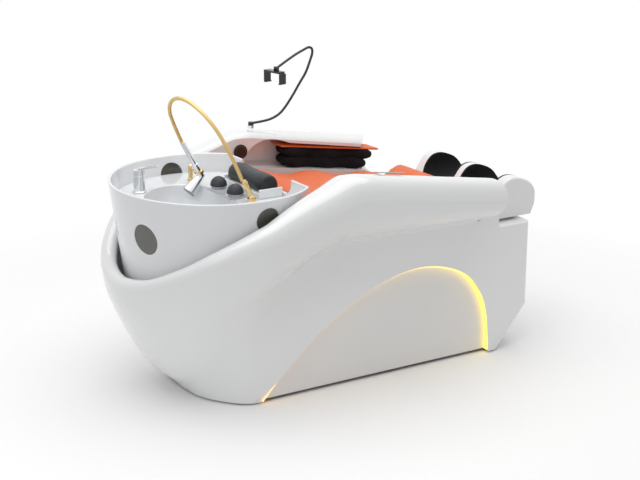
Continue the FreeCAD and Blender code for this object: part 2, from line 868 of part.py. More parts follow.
node(made("bed_pad_shape", bed_pad()), "bed_pad")
node(made("knee_shape", knee_bolster()), "knee_bolster")
roof_drop = val("trough_roof_wall") + val("lining_sheet") + val("soft_gap") * 2
floor_drop = val("trough_roof_wall") + val("trough_height") - val("soft_gap")
split_drop = (roof_drop + floor_drop) / 2
upper_form = arm_cushion(split_drop - val("soft_gap"), roof_drop)
lower_form = arm_cushion(floor_drop, split_drop + val("soft_gap"))
lining_form = arm_lining()
for side, turn_over in (("far", False), ("near", True)):
    for part_name, form in (("arm_cushion_upper_", upper_form), ("arm_cushion_lower_", lower_form),
                            ("arm_lining_", lining_form)):
        shape = flip(form) if turn_over else form
        node(made(part_name + side + "_shape", shape), part_name + side)


# Basin
def basin_cone(inset, low, high):
    """The flared form that stands inside the skirt's outside by an inset, between two heights."""
    over = val("overrun")
    whole = Part.makeLoft([basin_wire(inset, val("basin_foot") - over),
                           basin_wire(inset, val("basin_rim") + over)], True, True)
    reach = val("bow_rim_top") * 2
    slab = Part.makeBox(reach * 2, reach * 2, high - low, Vector(val("bow_centre") - reach, -reach, low))
    return whole.common(slab)


def basin_skirt():
    """The flared outside of the basin, dipped at the neck, with round windows."""
    rim = val("basin_rim")
    foot = val("basin_foot")
    wall = val("basin_wall")
    over = val("overrun")
    outer = basin_cone(0, foot, rim)
    inner = basin_cone(wall, foot - over, rim + over)
    half = val("neck_dip_half")
    dip = Part.makeBox(wall * 8, half * 2, rim, Vector(val("neck_wall") - wall * 4, -half, val("neck_dip_floor")))
    corners = [edge for edge in dip.Edges if edge.BoundBox.ZMax < val("neck_dip_floor") + over
               and edge.BoundBox.YLength < over]
    shape = outer.cut(inner).cut(dip.makeFillet(val("dip_round"), corners))
    for tool in window_tools(0, wall * 3, -wall):
        shape = shape.cut(tool)
    return shape


WINDOW_PLACES = [("head", 201.5, 683, "window_radius"), ("side", 273.5, 772, "side_window_radius")]


def window_tools(shrink, depth, proud):
    """Round plugs that stand square to the skirt at each window, near side first, then far."""
    tools = []
    for name, angle, z, radius in WINDOW_PLACES:
        for side in (1, -1):
            turn = math.radians(angle)
            reach = basin_reach(turn, z)
            half_x = val("basin_half_length")
            half_y = val("basin_half_width")
            out = Vector(math.cos(turn) / half_x ** 2, side * math.sin(turn) / half_y ** 2, 0).normalize()
            out = (out + UP * -TAPER_SHARE).normalize()
            spot = Vector(val("bow_centre") + reach * math.cos(turn), side * reach * math.sin(turn), z)
            start = spot - out * proud
            tools.append(Part.makeCylinder(val(radius) - shrink, depth, start, -out))
    return tools


def bowl_wires(grow):
    """The bowl's ovals from its mouth down to its floor."""
    mouth = val("deck_height")
    floor = val("bowl_floor")
    shares = [(1.0, 1.0), (0.55, 0.93), (0.20, 0.74), (0.0, 0.42)]
    wires = []
    for height, width in shares:
        half_x = val("bowl_half_length") * width + grow
        half_y = val("bowl_half_width") * width + grow
        wires.append(ellipse_wire(val("bowl_centre"), half_x, half_y, blend(floor, mouth, height) - grow))
    return wires


def basin_bowl():
    """The washing bowl: a level deck inside the skirt and a deep oval hollow with a drain hole."""
    sheet_z = val("deck_sheet")
    mouth = val("deck_height")
    deck = basin_cone(val("basin_wall") + val("fit_gap"), mouth - sheet_z, mouth)
    tub = Part.makeLoft(bowl_wires(sheet_z), True, False)
    hollow = Part.makeLoft(bowl_wires(0), True, False)
    drain = Part.makeCylinder(val("drain_radius"), sheet_z * 4,
                              Vector(val("bowl_centre"), 0, val("bowl_floor") - sheet_z * 3))
    lid = Part.makeLoft([ellipse_wire(val("bowl_centre"), val("bowl_half_length"), val("bowl_half_width"),
                                      mouth - sheet_z * 0.01),
                         ellipse_wire(val("bowl_centre"), val("bowl_half_length"), val("bowl_half_width"),
                                      mouth + sheet_z)], True, True)
    return deck.fuse(tub).cut(hollow).cut(lid).cut(drain)


node(made("skirt_shape", basin_skirt()), "basin_skirt")
node(made("bowl_shape", basin_bowl()), "basin_bowl")
window_forms = window_tools(val("fit_gap"), val("window_sheet"), val("window_sheet"))
WINDOW_NAMES = ["window_head_near", "window_head_far", "window_side_near", "window_side_far"]
for label, form in zip(WINDOW_NAMES, window_forms):
    node(made(label + "_shape", form), label)


# Drain
sleeve = prim("Cylinder", "flange_sleeve", ("bowl_centre", "0", "bowl_floor - drain_depth * 3"),
              Radius="drain_radius - fit_gap", Height="drain_depth * 3")
lip = prim("Cylinder", "flange_lip", ("bowl_centre", "0", "bowl_floor"),
           Radius="flange_radius", Height="flange_wall")
throat = prim("Cylinder", "flange_throat", ("bowl_centre", "0", "bowl_floor - drain_depth * 4"),
              Radius="drain_radius - drain_depth", Height="drain_depth * 6")
ledge = prim("Cylinder", "flange_ledge", ("bowl_centre", "0", "bowl_floor - flange_wall"),
             Radius="drain_radius - flange_wall", Height="drain_depth")
node(cut("drain_flange_shape", fuse("flange_rough", sleeve, lip), fuse("flange_tool", throat, ledge)),
     "drain_flange")
disc = prim("Cylinder", "strainer_disc", ("bowl_centre", "0", "bowl_floor - flange_wall"),
            Radius="drain_radius - flange_wall - fit_gap * 2", Height="flange_wall")
knob = prim("Cylinder", "strainer_knob", ("bowl_centre", "0", "bowl_floor"),
            Radius="flange_wall * 1.5", Height="drain_depth")
strainer_holes = []
for number in range(8):
    strainer_holes.append(prim("Cylinder", "strainer_hole_%d" % number,
                               ("bowl_centre + drain_radius * 0.55 * cos(%d deg)" % (number * 45),
                                "drain_radius * 0.55 * sin(%d deg)" % (number * 45),
                                "bowl_floor - drain_depth"),
                               Radius="strainer_hole_radius", Height="drain_depth * 2"))
node(cut("strainer_shape", fuse("strainer_rough", disc, knob), fuse("strainer_tool", *strainer_holes)),
     "drain_strainer")
trap_top = "bowl_floor - drain_depth * 3"
trap = prim("Cylinder", "trap_body", ("bowl_centre", "0", trap_top + " - trap_height"),
            Radius="trap_radius", Height="trap_height")
trap_bore = prim("Cylinder", "trap_bore", ("bowl_centre", "0", trap_top + " - trap_height + flange_wall"),
                 Radius="drain_radius - drain_depth", Height="trap_height")
trap_hole = prim("Cylinder", "trap_hole", ("bowl_centre", "0", trap_top + " - trap_height - overrun"),
                 Radius="waste_radius - flange_wall", Height="trap_height")
node(cut("trap_shape", trap, fuse("trap_tool", trap_bore, trap_hole)), "drain_trap")
pipe = prim("Cylinder", "pipe_outside", ("bowl_centre", "0", "waste_end"),
            Radius="waste_radius", Height="bowl_floor - drain_depth * 3 - trap_height - waste_end")
pipe_bore = prim("Cylinder", "pipe_bore", ("bowl_centre", "0", "waste_end - overrun"),
                 Radius="waste_radius - flange_wall", Height="bowl_floor")
node(cut("pipe_shape", pipe, pipe_bore), "waste_pipe")


# Levelling feet, tray and what stands on it, water inlet
FOOT_SPOTS = [("frame_head + foot_radius", "frame_half_width - frame_tube / 2"),
              ("frame_head + foot_radius", "frame_tube / 2 - frame_half_width"),
              (tail_x + " - foot_radius", "frame_half_width - frame_tube / 2"),
              (tail_x + " - foot_radius", "frame_tube / 2 - frame_half_width"),
              ("keel_head + foot_radius", "keel_half_width - frame_tube / 2"),
              ("keel_head + foot_radius", "frame_tube / 2 - keel_half_width")]
feet = []
for number, (x, y) in enumerate(FOOT_SPOTS):
    foot_pad = prim("Cylinder", "foot_pad_%d" % number, (x, y, "0"), Radius="foot_radius",
                    Height="foot_pad_height")
    stem = prim("Cylinder", "foot_stem_%d" % number, (x, y, "foot_pad_height"), Radius="foot_stem_radius",
                Height="frame_floor - foot_pad_height")
    feet.append(fuse("foot_%d" % number, foot_pad, stem))
node(group("feet_shape", *feet), "levelling_feet")


def cross_x(share):
    return "(frame_head + (" + tail_x + " - frame_tube - frame_head) * " + str(share) + ")"


tray_head = cross_x(CROSS_SHARES[1])
tray_foot = cross_x(CROSS_SHARES[2]) + " + frame_tube"
tray_top = rail_top + " + tray_sheet"
node(block("tray_shape", (tray_head, "-tray_half_width", rail_top), (tray_foot, "tray_half_width", tray_top)),
     "equipment_tray")
pump_box = block("pump_box", (tray_head, "-pump_width", tray_top),
                 (tray_head + " + pump_length", "0", tray_top + " + pump_height"))
nozzle = prim("Cylinder", "pump_nozzle", (tray_head + " + pump_length", "-pump_width / 2",
                                          tray_top + " + pump_height / 2"),
              turn=Rotation(UP, ALONG), Radius="hose_radius", Height="inlet_stub")
node(fuse("pump_shape", pump_box, nozzle), "air_pump")
supply_head = tray_foot + " - supply_length"
node(block("supply_shape", (supply_head, "tray_half_width - supply_width", tray_top),
           (tray_foot, "tray_half_width", tray_top + " + supply_height")), "power_supply")
inlet_low = "(frame_floor + frame_tube / 2)"
inlet_head = "(frame_head + frame_tube)"
inlet_pieces = [block("inlet_block", (inlet_head, "-inlet_length / 2", inlet_low),
                      (inlet_head + " + inlet_depth", "inlet_length / 2", inlet_low + " + inlet_height"))]
for number, y in enumerate(("inlet_spacing / 2", "-inlet_spacing / 2")):
    inlet_pieces.append(prim("Cylinder", "inlet_thread_%d" % number,
                             (inlet_head + " + inlet_depth / 2", y, inlet_low + " - inlet_stub"),
                             Radius="inlet_thread_radius", Height="inlet_stub"))
node(fuse("inlet_shape", *inlet_pieces), "water_inlet")


# Neck rest and head rest
pillow_end = "(pillow_half_length + soft_gap)"
saddle_side = "(pillow_half_length + soft_gap + saddle_cheek)"
saddle_box = block("saddle_box", ("saddle_head", "-" + saddle_side, "deck_height"),
                   ("saddle_foot", saddle_side, "saddle_top + saddle_cheek * 2"))
saddle_tool = block("saddle_tool", ("saddle_head - overrun", "-" + pillow_end, "saddle_top"),
                    ("saddle_foot + overrun", pillow_end, "basin_rim"))
node(cut("saddle_shape", saddle_box, saddle_tool), "neck_saddle")


PILLOW_SIDE_SHARE = 0.42
# Place along half of the pillow and how full it is there
PILLOW_STEPS = [(1.0, 0.80), (0.965, 0.94), (0.88, 1.0), (0.4, 1.0)]


def neck_pillow():
    """A leather bolster with a flat underside, rounded along its top and drawn in at its ends."""
    middle_x = val("saddle_head") + val("saddle_cheek") + val("pillow_width") / 2
    low = val("saddle_top") + val("soft_gap")
    steps = [(-place, full) for place, full in PILLOW_STEPS] + PILLOW_STEPS[::-1]
    sections = []
    for place, full in steps:
        y = val("pillow_half_length") * place
        half = val("pillow_width") / 2 * full
        top = low + val("pillow_height") * full
        side_z = blend(low, top, PILLOW_SIDE_SHARE)
        a = Vector(middle_x - half, y, low)
        b = Vector(middle_x + half, y, low)
        c = Vector(middle_x + half, y, side_z)
        d = Vector(middle_x - half, y, side_z)
        crown = Part.Arc(c, Vector(middle_x, y, top), d).toShape()
        sections.append(Part.Wire([Part.makeLine(a, b), Part.makeLine(b, c), crown, Part.makeLine(d, a)]))
    return Part.makeLoft(sections, True, False)


node(made("pillow_shape", neck_pillow()), "neck_pillow")
stand_side = "(dome_y + cup_radius)"
stand_head = "(dome_x - dome_radius - overrun)"
stand_pieces = [block("stand_plate", (stand_head, "-" + stand_side, "deck_height"),
                      ("saddle_head - fit_gap", stand_side, "deck_height + stand_sheet"))]
domes = []
for name, y in (("far", "dome_y"), ("near", "-dome_y")):
    stand_pieces.append(prim("Cylinder", "cup_" + name, ("dome_x", y, "deck_height + stand_sheet"),
                             Radius="cup_radius", Height="cup_height"))
    dome = prim("Ellipsoid", "dome_" + name, ("dome_x", y, "deck_height + stand_sheet + cup_height + soft_gap"),
                Radius1="dome_height", Radius2="dome_radius", Radius3="dome_radius")
    dome.Angle1 = 0
    domes.append(dome)
node(fuse("stand_shape", *stand_pieces), "head_rest_stand")
node(group("domes_shape", *domes), "head_rest_pads")


# Mixer: a fixed body, a cap that turns and a lever that lifts
cap_low = "(deck_height + mixer_height - mixer_cap_height)"
mixer_top = "(deck_height + mixer_height)"
collar = prim("Cylinder", "mixer_collar_disc", ("mixer_x", "mixer_y", "deck_height"),
              Radius="mixer_radius + overrun", Height="mixer_collar")
stalk = prim("Cylinder", "mixer_stalk", ("mixer_x", "mixer_y", "deck_height"),
             Radius="mixer_radius", Height="mixer_height - mixer_cap_height")
spigot = prim("Cylinder", "mixer_spigot", ("mixer_x", "mixer_y", cap_low),
              Radius="mixer_radius / 3", Height="mixer_cap_height / 4")
node(fuse("mixer_shape", collar, stalk, spigot), "mixer_body")
cap_disc = prim("Cylinder", "cap_disc", ("mixer_x", "mixer_y", cap_low), Radius="mixer_radius",
                Height="mixer_cap_height")
cap_bore = prim("Cylinder", "cap_bore", ("mixer_x", "mixer_y", cap_low + " - overrun"),
                Radius="mixer_radius / 3 + pin_gap", Height="overrun + mixer_cap_height / 4 + fit_gap")
cap_slot = block("cap_slot", ("mixer_x - mixer_radius / 2", "mixer_y - lever_width / 4 - turn_gap",
                              mixer_top + " - mixer_radius / 1.4"),
                 ("mixer_x + mixer_radius + overrun", "mixer_y + lever_width / 4 + turn_gap",
                  mixer_top + " + overrun"))
pivot_z = mixer_top + " - mixer_radius / 3"
cap_pin = prim("Cylinder", "cap_pin", ("mixer_x", "mixer_y - mixer_radius / 2", pivot_z),
               turn=Rotation(UP, ACROSS), Radius="lever_pin_radius", Height="mixer_radius")
cap_cut = cut("cap_cut", cap_disc, fuse("cap_tool", cap_bore, cap_slot))
node(fuse("cap_shape", cap_cut, cap_pin), "mixer_cap")
tongue = prim("Cylinder", "lever_tongue", ("mixer_x", "mixer_y - lever_width / 4", pivot_z),
              turn=Rotation(UP, ACROSS), Radius="lever_pin_radius * 2.4", Height="lever_width / 2")
riser = block("lever_riser", ("mixer_x", "mixer_y - lever_width / 4", pivot_z),
              ("mixer_x + lever_pin_radius * 3", "mixer_y + lever_width / 4", mixer_top + " + fit_gap * 6"))
blade = block("lever_blade", ("mixer_x", "mixer_y - lever_width / 2", mixer_top + " + fit_gap * 4"),
              ("mixer_x + lever_reach", "mixer_y + lever_width / 2",
               mixer_top + " + fit_gap * 4 + lever_sheet"))
blade_hole = block("lever_hole", ("mixer_x + lever_reach / 3", "mixer_y - lever_width / 2 + lever_sheet / 1.5",
                                  mixer_top),
                   ("mixer_x + lever_reach - lever_sheet", "mixer_y + lever_width / 2 - lever_sheet / 1.5",
                    mixer_top + " + lever_sheet * 3"))
lever_bore = prim("Cylinder", "lever_bore", ("mixer_x", "mixer_y - lever_width", pivot_z),
                  turn=Rotation(UP, ACROSS), Radius="lever_pin_radius + pin_gap", Height="lever_width * 2")
node(cut("lever_shape", fuse("lever_rough", tongue, riser, blade), fuse("lever_tool", blade_hole, lever_bore)),
     "mixer_lever")


# Handset, its holder and its hose
handle_turn = Rotation(ACROSS, -val("handle_lean_angle"))
handle_way = handle_turn.multVec(UP)
spray_way = Rotation(ACROSS, val("spray_lean_angle")).multVec(UP)
ring_spot = Vector(val("ring_x"), val("ring_y"), val("ring_z"))


def hand_shower():
    """A sleeve in the fork, a handle above it and a spray head that bends away below it."""
    foot = ring_spot - handle_way * val("neck_offset")
    sleeve = Part.makeCylinder(val("handset_radius"), val("neck_offset") + val("sleeve_length"), foot, handle_way)
    handle = Part.makeCylinder(val("handle_radius"), val("neck_offset") + val("handle_length"), foot, handle_way)
    knuckle = Part.makeSphere(val("handset_radius"), foot)
    head = Part.makeCone(val("handset_radius"), val("spray_radius"), val("spray_length"), foot, spray_way)
    return sleeve.fuse([handle, knuckle, head])


def spray_plate():
    """The nozzle plate on the spray head's end."""
    foot = ring_spot - handle_way * val("neck_offset") + spray_way * val("spray_length")
    plate = Part.makeCylinder(val("spray_radius") - val("fork_wall") / 2, val("spray_sheet"), foot, spray_way)
    return plate.makeFillet(val("spray_sheet") / 2, [plate.Edges[0]])


def holder_post():
    """A post on the deck with a fork that is open towards the head end."""
    over = val("overrun")
    post = Part.makeCylinder(val("holder_radius"), val("ring_z") - val("deck_height"),
                             Vector(val("holder_x"), val("holder_y"), val("deck_height")))
    collar = Part.makeCylinder(val("holder_radius") + over, over,
                               Vector(val("holder_x"), val("holder_y"), val("deck_height")))
    start = Vector(val("holder_x"), val("holder_y"), val("ring_z") - val("fork_wall"))
    inside = val("handset_radius") + val("fit_gap")
    outside = inside + val("fork_wall")
    low = ring_spot - handle_way * val("fork_height") / 2
    end = ring_spot + Vector(0, outside - over / 2, 0)
    arm = Part.makeCylinder(val("fork_wall") * 0.8, (end - start).Length, start, end - start)
    cap = Part.makeSphere(val("holder_radius"), Vector(val("holder_x"), val("holder_y"), val("ring_z")))
    ring = Part.makeCylinder(outside, val("fork_height"), low, handle_way)
    bore = Part.makeCylinder(inside, val("fork_height") * 4, low - handle_way * val("fork_height") * 1.5,
                             handle_way)
    mouth = Part.makeBox(outside * 2, inside * 2, val("fork_height") * 4,
                         Vector(-outside * 2, -inside, -val("fork_height") * 2))
    mouth.Placement = FreeCAD.Placement(ring_spot, handle_turn)
    return post.fuse([collar, arm, cap, ring]).cut(bore.fuse(mouth))


node(made("holder_shape", holder_post()), "handset_holder")
node(made("handset_shape", hand_shower()), "handset")
node(made("spray_shape", spray_plate()), "spray_face")
nut_turn = Rotation(ACROSS, -val("nut_lean_angle"))
nut_base = prim("Cylinder", "nut_base", ("nut_x", "nut_y", "deck_height"), Radius="nut_radius + overrun",
                Height="nut_collar")
nut_ball = prim("Sphere", "nut_ball", ("nut_x", "nut_y", "deck_height + nut_radius"), Radius="nut_radius - fit_gap")
nut_sleeve = prim("Cylinder", "nut_sleeve", ("nut_x", "nut_y", "deck_height + nut_radius"), turn=nut_turn,
                  Radius="hose_radius * 1.25", Height="fitting_length - nut_radius")
hexagon = prim("Prism", "nut_hexagon",
               ("nut_x + (fitting_length - nut_radius) * 0.62 * sin(-nut_lean_angle)", "nut_y",
                "deck_height + nut_radius + (fitting_length - nut_radius) * 0.62 * cos(nut_lean_angle)"),
               turn=nut_turn, Circumradius="nut_radius", Height="nut_radius * 1.6")
hexagon.Polygon = 6
node(fuse("nut_shape", nut_base, nut_ball, nut_sleeve, hexagon), "hose_nut")


def spots(prefix, count):
    """Read a route's points back from the sheet."""
    names = [prefix + "_%s_" + chr(ord("a") + number) for number in range(count)]
    return [Vector(*(val(name % axis) for axis in "xyz")) for name in names]


BEND_SHARE = 0.45


def cord_wire(points):
    """Straight runs joined by tangent arcs."""
    edges = []
    start = points[0]
    radii = []
    for before, corner, after in zip(points, points[1:], points[2:]):
        way_in = (corner - before).normalize()
        way_out = (after - corner).normalize()
        half_turn = way_in.getAngle(way_out) / 2
        leg = BEND_SHARE * min((corner - before).Length, (after - corner).Length)
        radius = leg / math.tan(half_turn)
        radii.append(round(radius))
        first = corner - way_in * leg
        last = corner + way_out * leg
        inward = (way_out - way_in).normalize()
        middle = corner + inward * (radius / math.cos(half_turn) - radius)
        edges.append(Part.makeLine(start, first))
        edges.append(Part.Arc(first, middle, last).toShape())
        start = last
    edges.append(Part.makeLine(start, points[-1]))
    print("bend radii", radii)
    return Part.Wire(edges)


def tube(wire, radius):
    start = wire.Edges[0].firstVertex().Point
    way = wire.Edges[0].tangentAt(wire.Edges[0].FirstParameter)
    circle = Part.Wire([Part.makeCircle(radius, start, way)])
    solid = wire.makePipeShell([circle], True, True)
    print("tube volume against section times length",
          round(solid.Volume / (math.pi * radius ** 2 * wire.Length), 4), "length", round(wire.Length))
    return solid


hose_wire = cord_wire(spots("hose", len(HOSE_SPOTS)))
node(made("hose_shape", tube(hose_wire, val("hose_radius"))), "shower_hose")


# Round control in the far arm
facing = Rotation(UP, -ACROSS)
plate = prim("Cylinder", "control_plate", ("control_x", "control_seat", "control_z"), turn=facing,
             Radius="control_radius", Height="control_depth / 4")
hub = prim("Cylinder", "control_hub", ("control_x", "control_seat", "control_z"), turn=facing,
           Radius="control_radius - control_wall - turn_gap", Height="control_depth - button_travel")
hub_bore = prim("Cylinder", "control_bore", ("control_x", "control_seat - control_depth / 4", "control_z"),
                turn=facing, Radius="control_radius - control_wall - button_travel", Height="control_depth")
node(cut("control_base_shape", fuse("control_rough", plate, hub), hub_bore), "control_base")
ring_disc = prim("Cylinder", "control_ring_disc", ("control_x", "control_seat - control_depth / 4", "control_z"),
                 turn=facing, Radius="control_radius", Height="control_depth * 3 / 4")
ring_bore = prim("Cylinder", "control_ring_bore", ("control_x", "control_seat", "control_z"), turn=facing,
                 Radius="control_radius - control_wall", Height="control_depth * 2")
node(cut("control_ring_shape", ring_disc, ring_bore), "control_ring")
node(prim("Cylinder", "button_shape", ("control_x", "control_seat - control_depth / 4 - button_travel - turn_gap",
                                       "control_z"), turn=facing,
          Radius="control_radius - control_wall - button_travel - turn_gap",
          Height="control_depth * 3 / 4 - button_travel"), "control_button")


# Phone holder
clamp_z = "(arm_top - clamp_sink - (arm_top - arm_end_top) * (clamp_x - trough_start) / (arm_end - trough_start))"
clamp_body = prim("Cylinder", "clamp_body", ("clamp_x", "clamp_y", clamp_z), Radius="clamp_radius",
                  Height="clamp_base_height")
clamp_bore = prim("Cylinder", "clamp_bore", ("clamp_x", "clamp_y", clamp_z + " + clamp_sink"),
                  Radius="hub_pin_radius + pin_gap", Height="clamp_base_height")
node(cut("clamp_shape", clamp_body, clamp_bore), "phone_clamp")
hub_disc = Part.makeCylinder(val("hub_radius"), val("hub_height"),
                             Vector(val("clamp_x"), val("clamp_y"), clamp_floor() + val("clamp_base_height")))
hub_pin = Part.makeCylinder(val("hub_pin_radius"), val("clamp_base_height") - val("clamp_sink") * 1.5,
                            Vector(val("clamp_x"), val("clamp_y"), clamp_floor() + val("clamp_sink") * 1.5))
arm_spots = spots("bend", len(ARM_SPOTS))
arm_tube = tube(cord_wire(arm_spots), val("gooseneck_radius"))
clip_turn = Rotation(UP, val("clip_turn_angle"))
clip_place = FreeCAD.Placement(arm_spots[-1], clip_turn)


def in_clip(shape):
    """Move a shape from the clip's own frame, X along its span, to its place."""
    shape.Placement = clip_place
    return shape


def along_clip(radius, length):
    return in_clip(Part.makeCylinder(radius, length, Vector(-length / 2, 0, 0), ALONG))


def clip_box(low, high):
    return in_clip(Part.makeBox(high[0] - low[0], high[1] - low[1], high[2] - low[2], Vector(*low)))


barrel = along_clip(val("barrel_radius"), val("barrel_length"))
barrel_bore = along_clip(val("clip_pin_radius") + val("pin_gap"), val("barrel_length") * 2)
gooseneck = hub_disc.fuse([hub_pin, arm_tube, barrel]).cut(barrel_bore)
node(made("gooseneck_shape", gooseneck), "gooseneck_arm")
span = val("clip_span") / 2
deep = val("clip_height")
plate_top = -val("barrel_radius") - val("clip_sheet") / 4
plate_low = plate_top - val("clip_sheet")
jaw_low = plate_low - val("clip_jaw")
back_edge = -deep * CLIP_BACK_SHARE
front_edge = deep + back_edge
wall = val("clip_sheet")
cheek_start = val("barrel_length") / 2 + val("turn_gap")
cheek_end = cheek_start + val("cheek_sheet")
clip_pieces = [clip_box((-span, back_edge, jaw_low), (wall - span, front_edge, plate_low)),
               clip_box((-span, back_edge, jaw_low), (wall * HOOK_SHARE - span, front_edge, jaw_low + wall / 2)),
               along_clip(val("clip_pin_radius"), cheek_end * 2)]
for low, high in ((-cheek_end, -cheek_start), (cheek_start, cheek_end)):
    clip_pieces.append(clip_box((low, -val("barrel_radius"), plate_top), (high, val("barrel_radius"),
                                                                         val("barrel_radius"))))
rail_low = blend(back_edge, front_edge, RAIL_SHARES[0])
rail_high = blend(back_edge, front_edge, RAIL_SHARES[1])
neck_low = blend(back_edge, front_edge, NECK_SHARES[0])
neck_high = blend(back_edge, front_edge, NECK_SHARES[1])
rail_bottom = plate_low + wall / 4
rail_top_z = plate_top - wall / 4
gap = val("turn_gap")
back_plate = clip_box((-span, back_edge, plate_low), (span - wall - gap, front_edge, plate_top))
rail_room = clip_box((wall / 2 - val("clip_travel"), rail_low - gap, rail_bottom - gap),
                     (span * 2, rail_high + gap, rail_top_z + gap))
neck_room = clip_box((span - wall - gap - val("clip_travel"), neck_low - gap, plate_low - gap),
                     (span * 2, neck_high + gap, rail_bottom))
clip_back = back_plate.fuse(clip_pieces).cut([rail_room, neck_room])
node(made("clip_back_shape", clip_back), "clip_back")
jaw = clip_box((span - wall, back_edge, jaw_low), (span, front_edge, plate_low - gap))
hook = clip_box((span - wall * HOOK_SHARE, back_edge, jaw_low), (span, front_edge, jaw_low + wall / 2))
neck = clip_box((span - wall, neck_low, plate_low - gap), (span, neck_high, rail_bottom))
rail = clip_box((wall, rail_low, rail_bottom), (span, rail_high, rail_top_z))
node(made("clip_jaw_shape", jaw.fuse([hook, neck, rail])), "clip_jaw")


# Leg rest on its cross shaft
REST_TOP = [(0.03, 0.52), (0.18, 0.80), (0.29, 0.94), (0.47, 1.0), (0.66, 0.95), (0.87, 0.81), (1.0, 0.55)]


def rest_prism():
    """The leg rest's side outline, drawn across its whole width with rounded long edges."""
    start = val("rest_start")
    end = val("rest_end")
    low = val("rest_bottom")
    top = val("rest_top")
    half = val("rest_half_width")
    points = [Vector(blend(start, end, x), -half, blend(low, top, z)) for x, z in REST_TOP]
    corners = [points[-1], Vector(end, -half, blend(low, top, 0.38)), Vector(blend(start, end, 0.88), -half, low),
               Vector(blend(start, end, 0.04), -half, low), Vector(start, -half, blend(low, top, 0.15)), points[0]]
    edges = [spline(points)]
    for first, second in zip(corners, corners[1:]):
        edges.append(Part.makeLine(first, second))
    solid = Part.Face(Part.Wire(edges)).extrude(ACROSS * 2 * half)
    rims = [edge for edge in solid.Edges if edge.BoundBox.YLength < val("fit_gap")
            and edge.BoundBox.ZMax > val("well_floor")]
    return solid.makeFillet(val("liner_sheet"), rims)


def well(inset):
    """One calf well as a solid, open above and at both ends."""
    low = val("well_inner") + inset
    width = val("well_outer") - val("well_inner") - 2 * inset
    box = Part.makeBox(val("rest_end") - val("rest_start") + val("overrun") * 2, width, val("rest_top"),
                       Vector(val("rest_start") - val("overrun"), low, val("well_floor") + inset))
    bottoms = [edge for edge in box.Edges if edge.BoundBox.ZMax < val("well_floor") + inset + val("fit_gap")
               and edge.BoundBox.YLength < val("fit_gap")]
    return box.makeFillet(val("well_round") - inset, bottoms)


rest_block = rest_prism()
outer_well = well(0)
inner_well = well(val("liner_sheet"))
gap_well = well(val("soft_gap"))
rest_shape = rest_block.cut(outer_well).cut(flip(outer_well))
liner_half = rest_block.common(gap_well).cut(inner_well)
shaft_place = Vector(val("shaft_x"), -val("shaft_half"), val("shaft_z"))
bore_place = shaft_place - ACROSS * val("overrun")
bore_length = (val("shaft_half") + val("overrun")) * 2
rest_tools = [Part.makeCylinder(val("shaft_radius") + val("shaft_gap"), bore_length, bore_place, ACROSS)]
slot_half = val("bracket_sheet") / 2 + val("button_travel")
for middle in (val("bracket_y"), -val("bracket_y")):
    swing = val("bracket_radius") + val("overrun")
    rest_tools.append(Part.makeCylinder(swing, slot_half * 2, Vector(val("shaft_x"), middle - slot_half,
                                                                     val("shaft_z")), ACROSS))
    rest_tools.append(Part.makeBox(val("bracket_foot_half") * 3, slot_half * 2, val("shaft_z") - val("ledge_height"),
                                   Vector(val("shaft_x") - val("bracket_foot_half") * 1.5, middle - slot_half,
                                          val("ledge_height"))))
for tool in rest_tools:
    rest_shape = rest_shape.cut(tool)
node(made("rest_shape", rest_shape), "leg_rest")
node(made("liner_shape", Part.makeCompound([liner_half, flip(liner_half)])), "leg_rest_liners")
across_turn = Rotation(UP, ACROSS)
node(prim("Cylinder", "shaft_shape", ("shaft_x", "-shaft_half", "shaft_z"), turn=across_turn,
          Radius="shaft_radius", Height="2 * shaft_half"), "leg_shaft")
brackets = []
bolts = []
for number, y in enumerate(("bracket_y", "-bracket_y")):
    cheek_low = y + " - bracket_sheet / 2"
    cheek_high = y + " + bracket_sheet / 2"
    eye = prim("Cylinder", "bracket_eye_%d" % number, ("shaft_x", cheek_low, "shaft_z"), turn=across_turn,
               Radius="bracket_radius", Height="bracket_sheet")
    web = block("bracket_web_%d" % number, ("shaft_x - bracket_radius", cheek_low, "ledge_height"),
                ("shaft_x + bracket_radius", cheek_high, "shaft_z"))
    flange = block("bracket_flange_%d" % number,
                   ("shaft_x - bracket_radius", y + " - bracket_foot_half", "ledge_height"),
                   ("shaft_x + bracket_radius", y + " + bracket_foot_half", "ledge_height + bracket_foot"))
    bore = prim("Cylinder", "bracket_bore_%d" % number, ("shaft_x", cheek_low + " - overrun", "shaft_z"),
                turn=across_turn, Radius="shaft_radius", Height="bracket_sheet + 2 * overrun")
    brackets.append(cut("bracket_%d" % number, fuse("bracket_rough_%d" % number, eye, web, flange), bore))
    for side in ("-", "+"):
        bolt = prim("Prism", "bolt_%d_%s" % (number, "far" if side == "+" else "near"),
                    ("shaft_x", y + " " + side + " (bracket_foot_half - bolt_radius - fit_gap * 3)",
                     "ledge_height + bracket_foot"),
                    Circumradius="bolt_radius", Height="bolt_head")
        bolt.Polygon = 6
        bolts.append(bolt)
stops = []
for side in ("-", ""):
    stops.append(prim("Cylinder", "rest_stop_" + ("near" if side else "far"),
                      ("rest_end - rest_wall * 1.5", side + "stop_y", "ledge_height"),
                      Radius="stop_radius", Height="rest_bottom - ledge_height - fit_gap"))
node(group("stop_shape", *stops), "leg_rest_stops")
node(group("bracket_shape", *brackets), "leg_brackets")
node(group("bolt_shape", *bolts), "bracket_bolts")


doc.recompute()
for obj in nodes:
    if "Invalid" in obj.State or "Error" in obj.State or not obj.Shape.Solids or not obj.Shape.isValid():
        raise SystemExit("bad sub-part: " + obj.Label)
os.makedirs("parts", exist_ok=True)
for obj in nodes:
    obj.Shape.exportStep("parts/" + obj.Label + ".step")
print(len(nodes), "sub-parts")
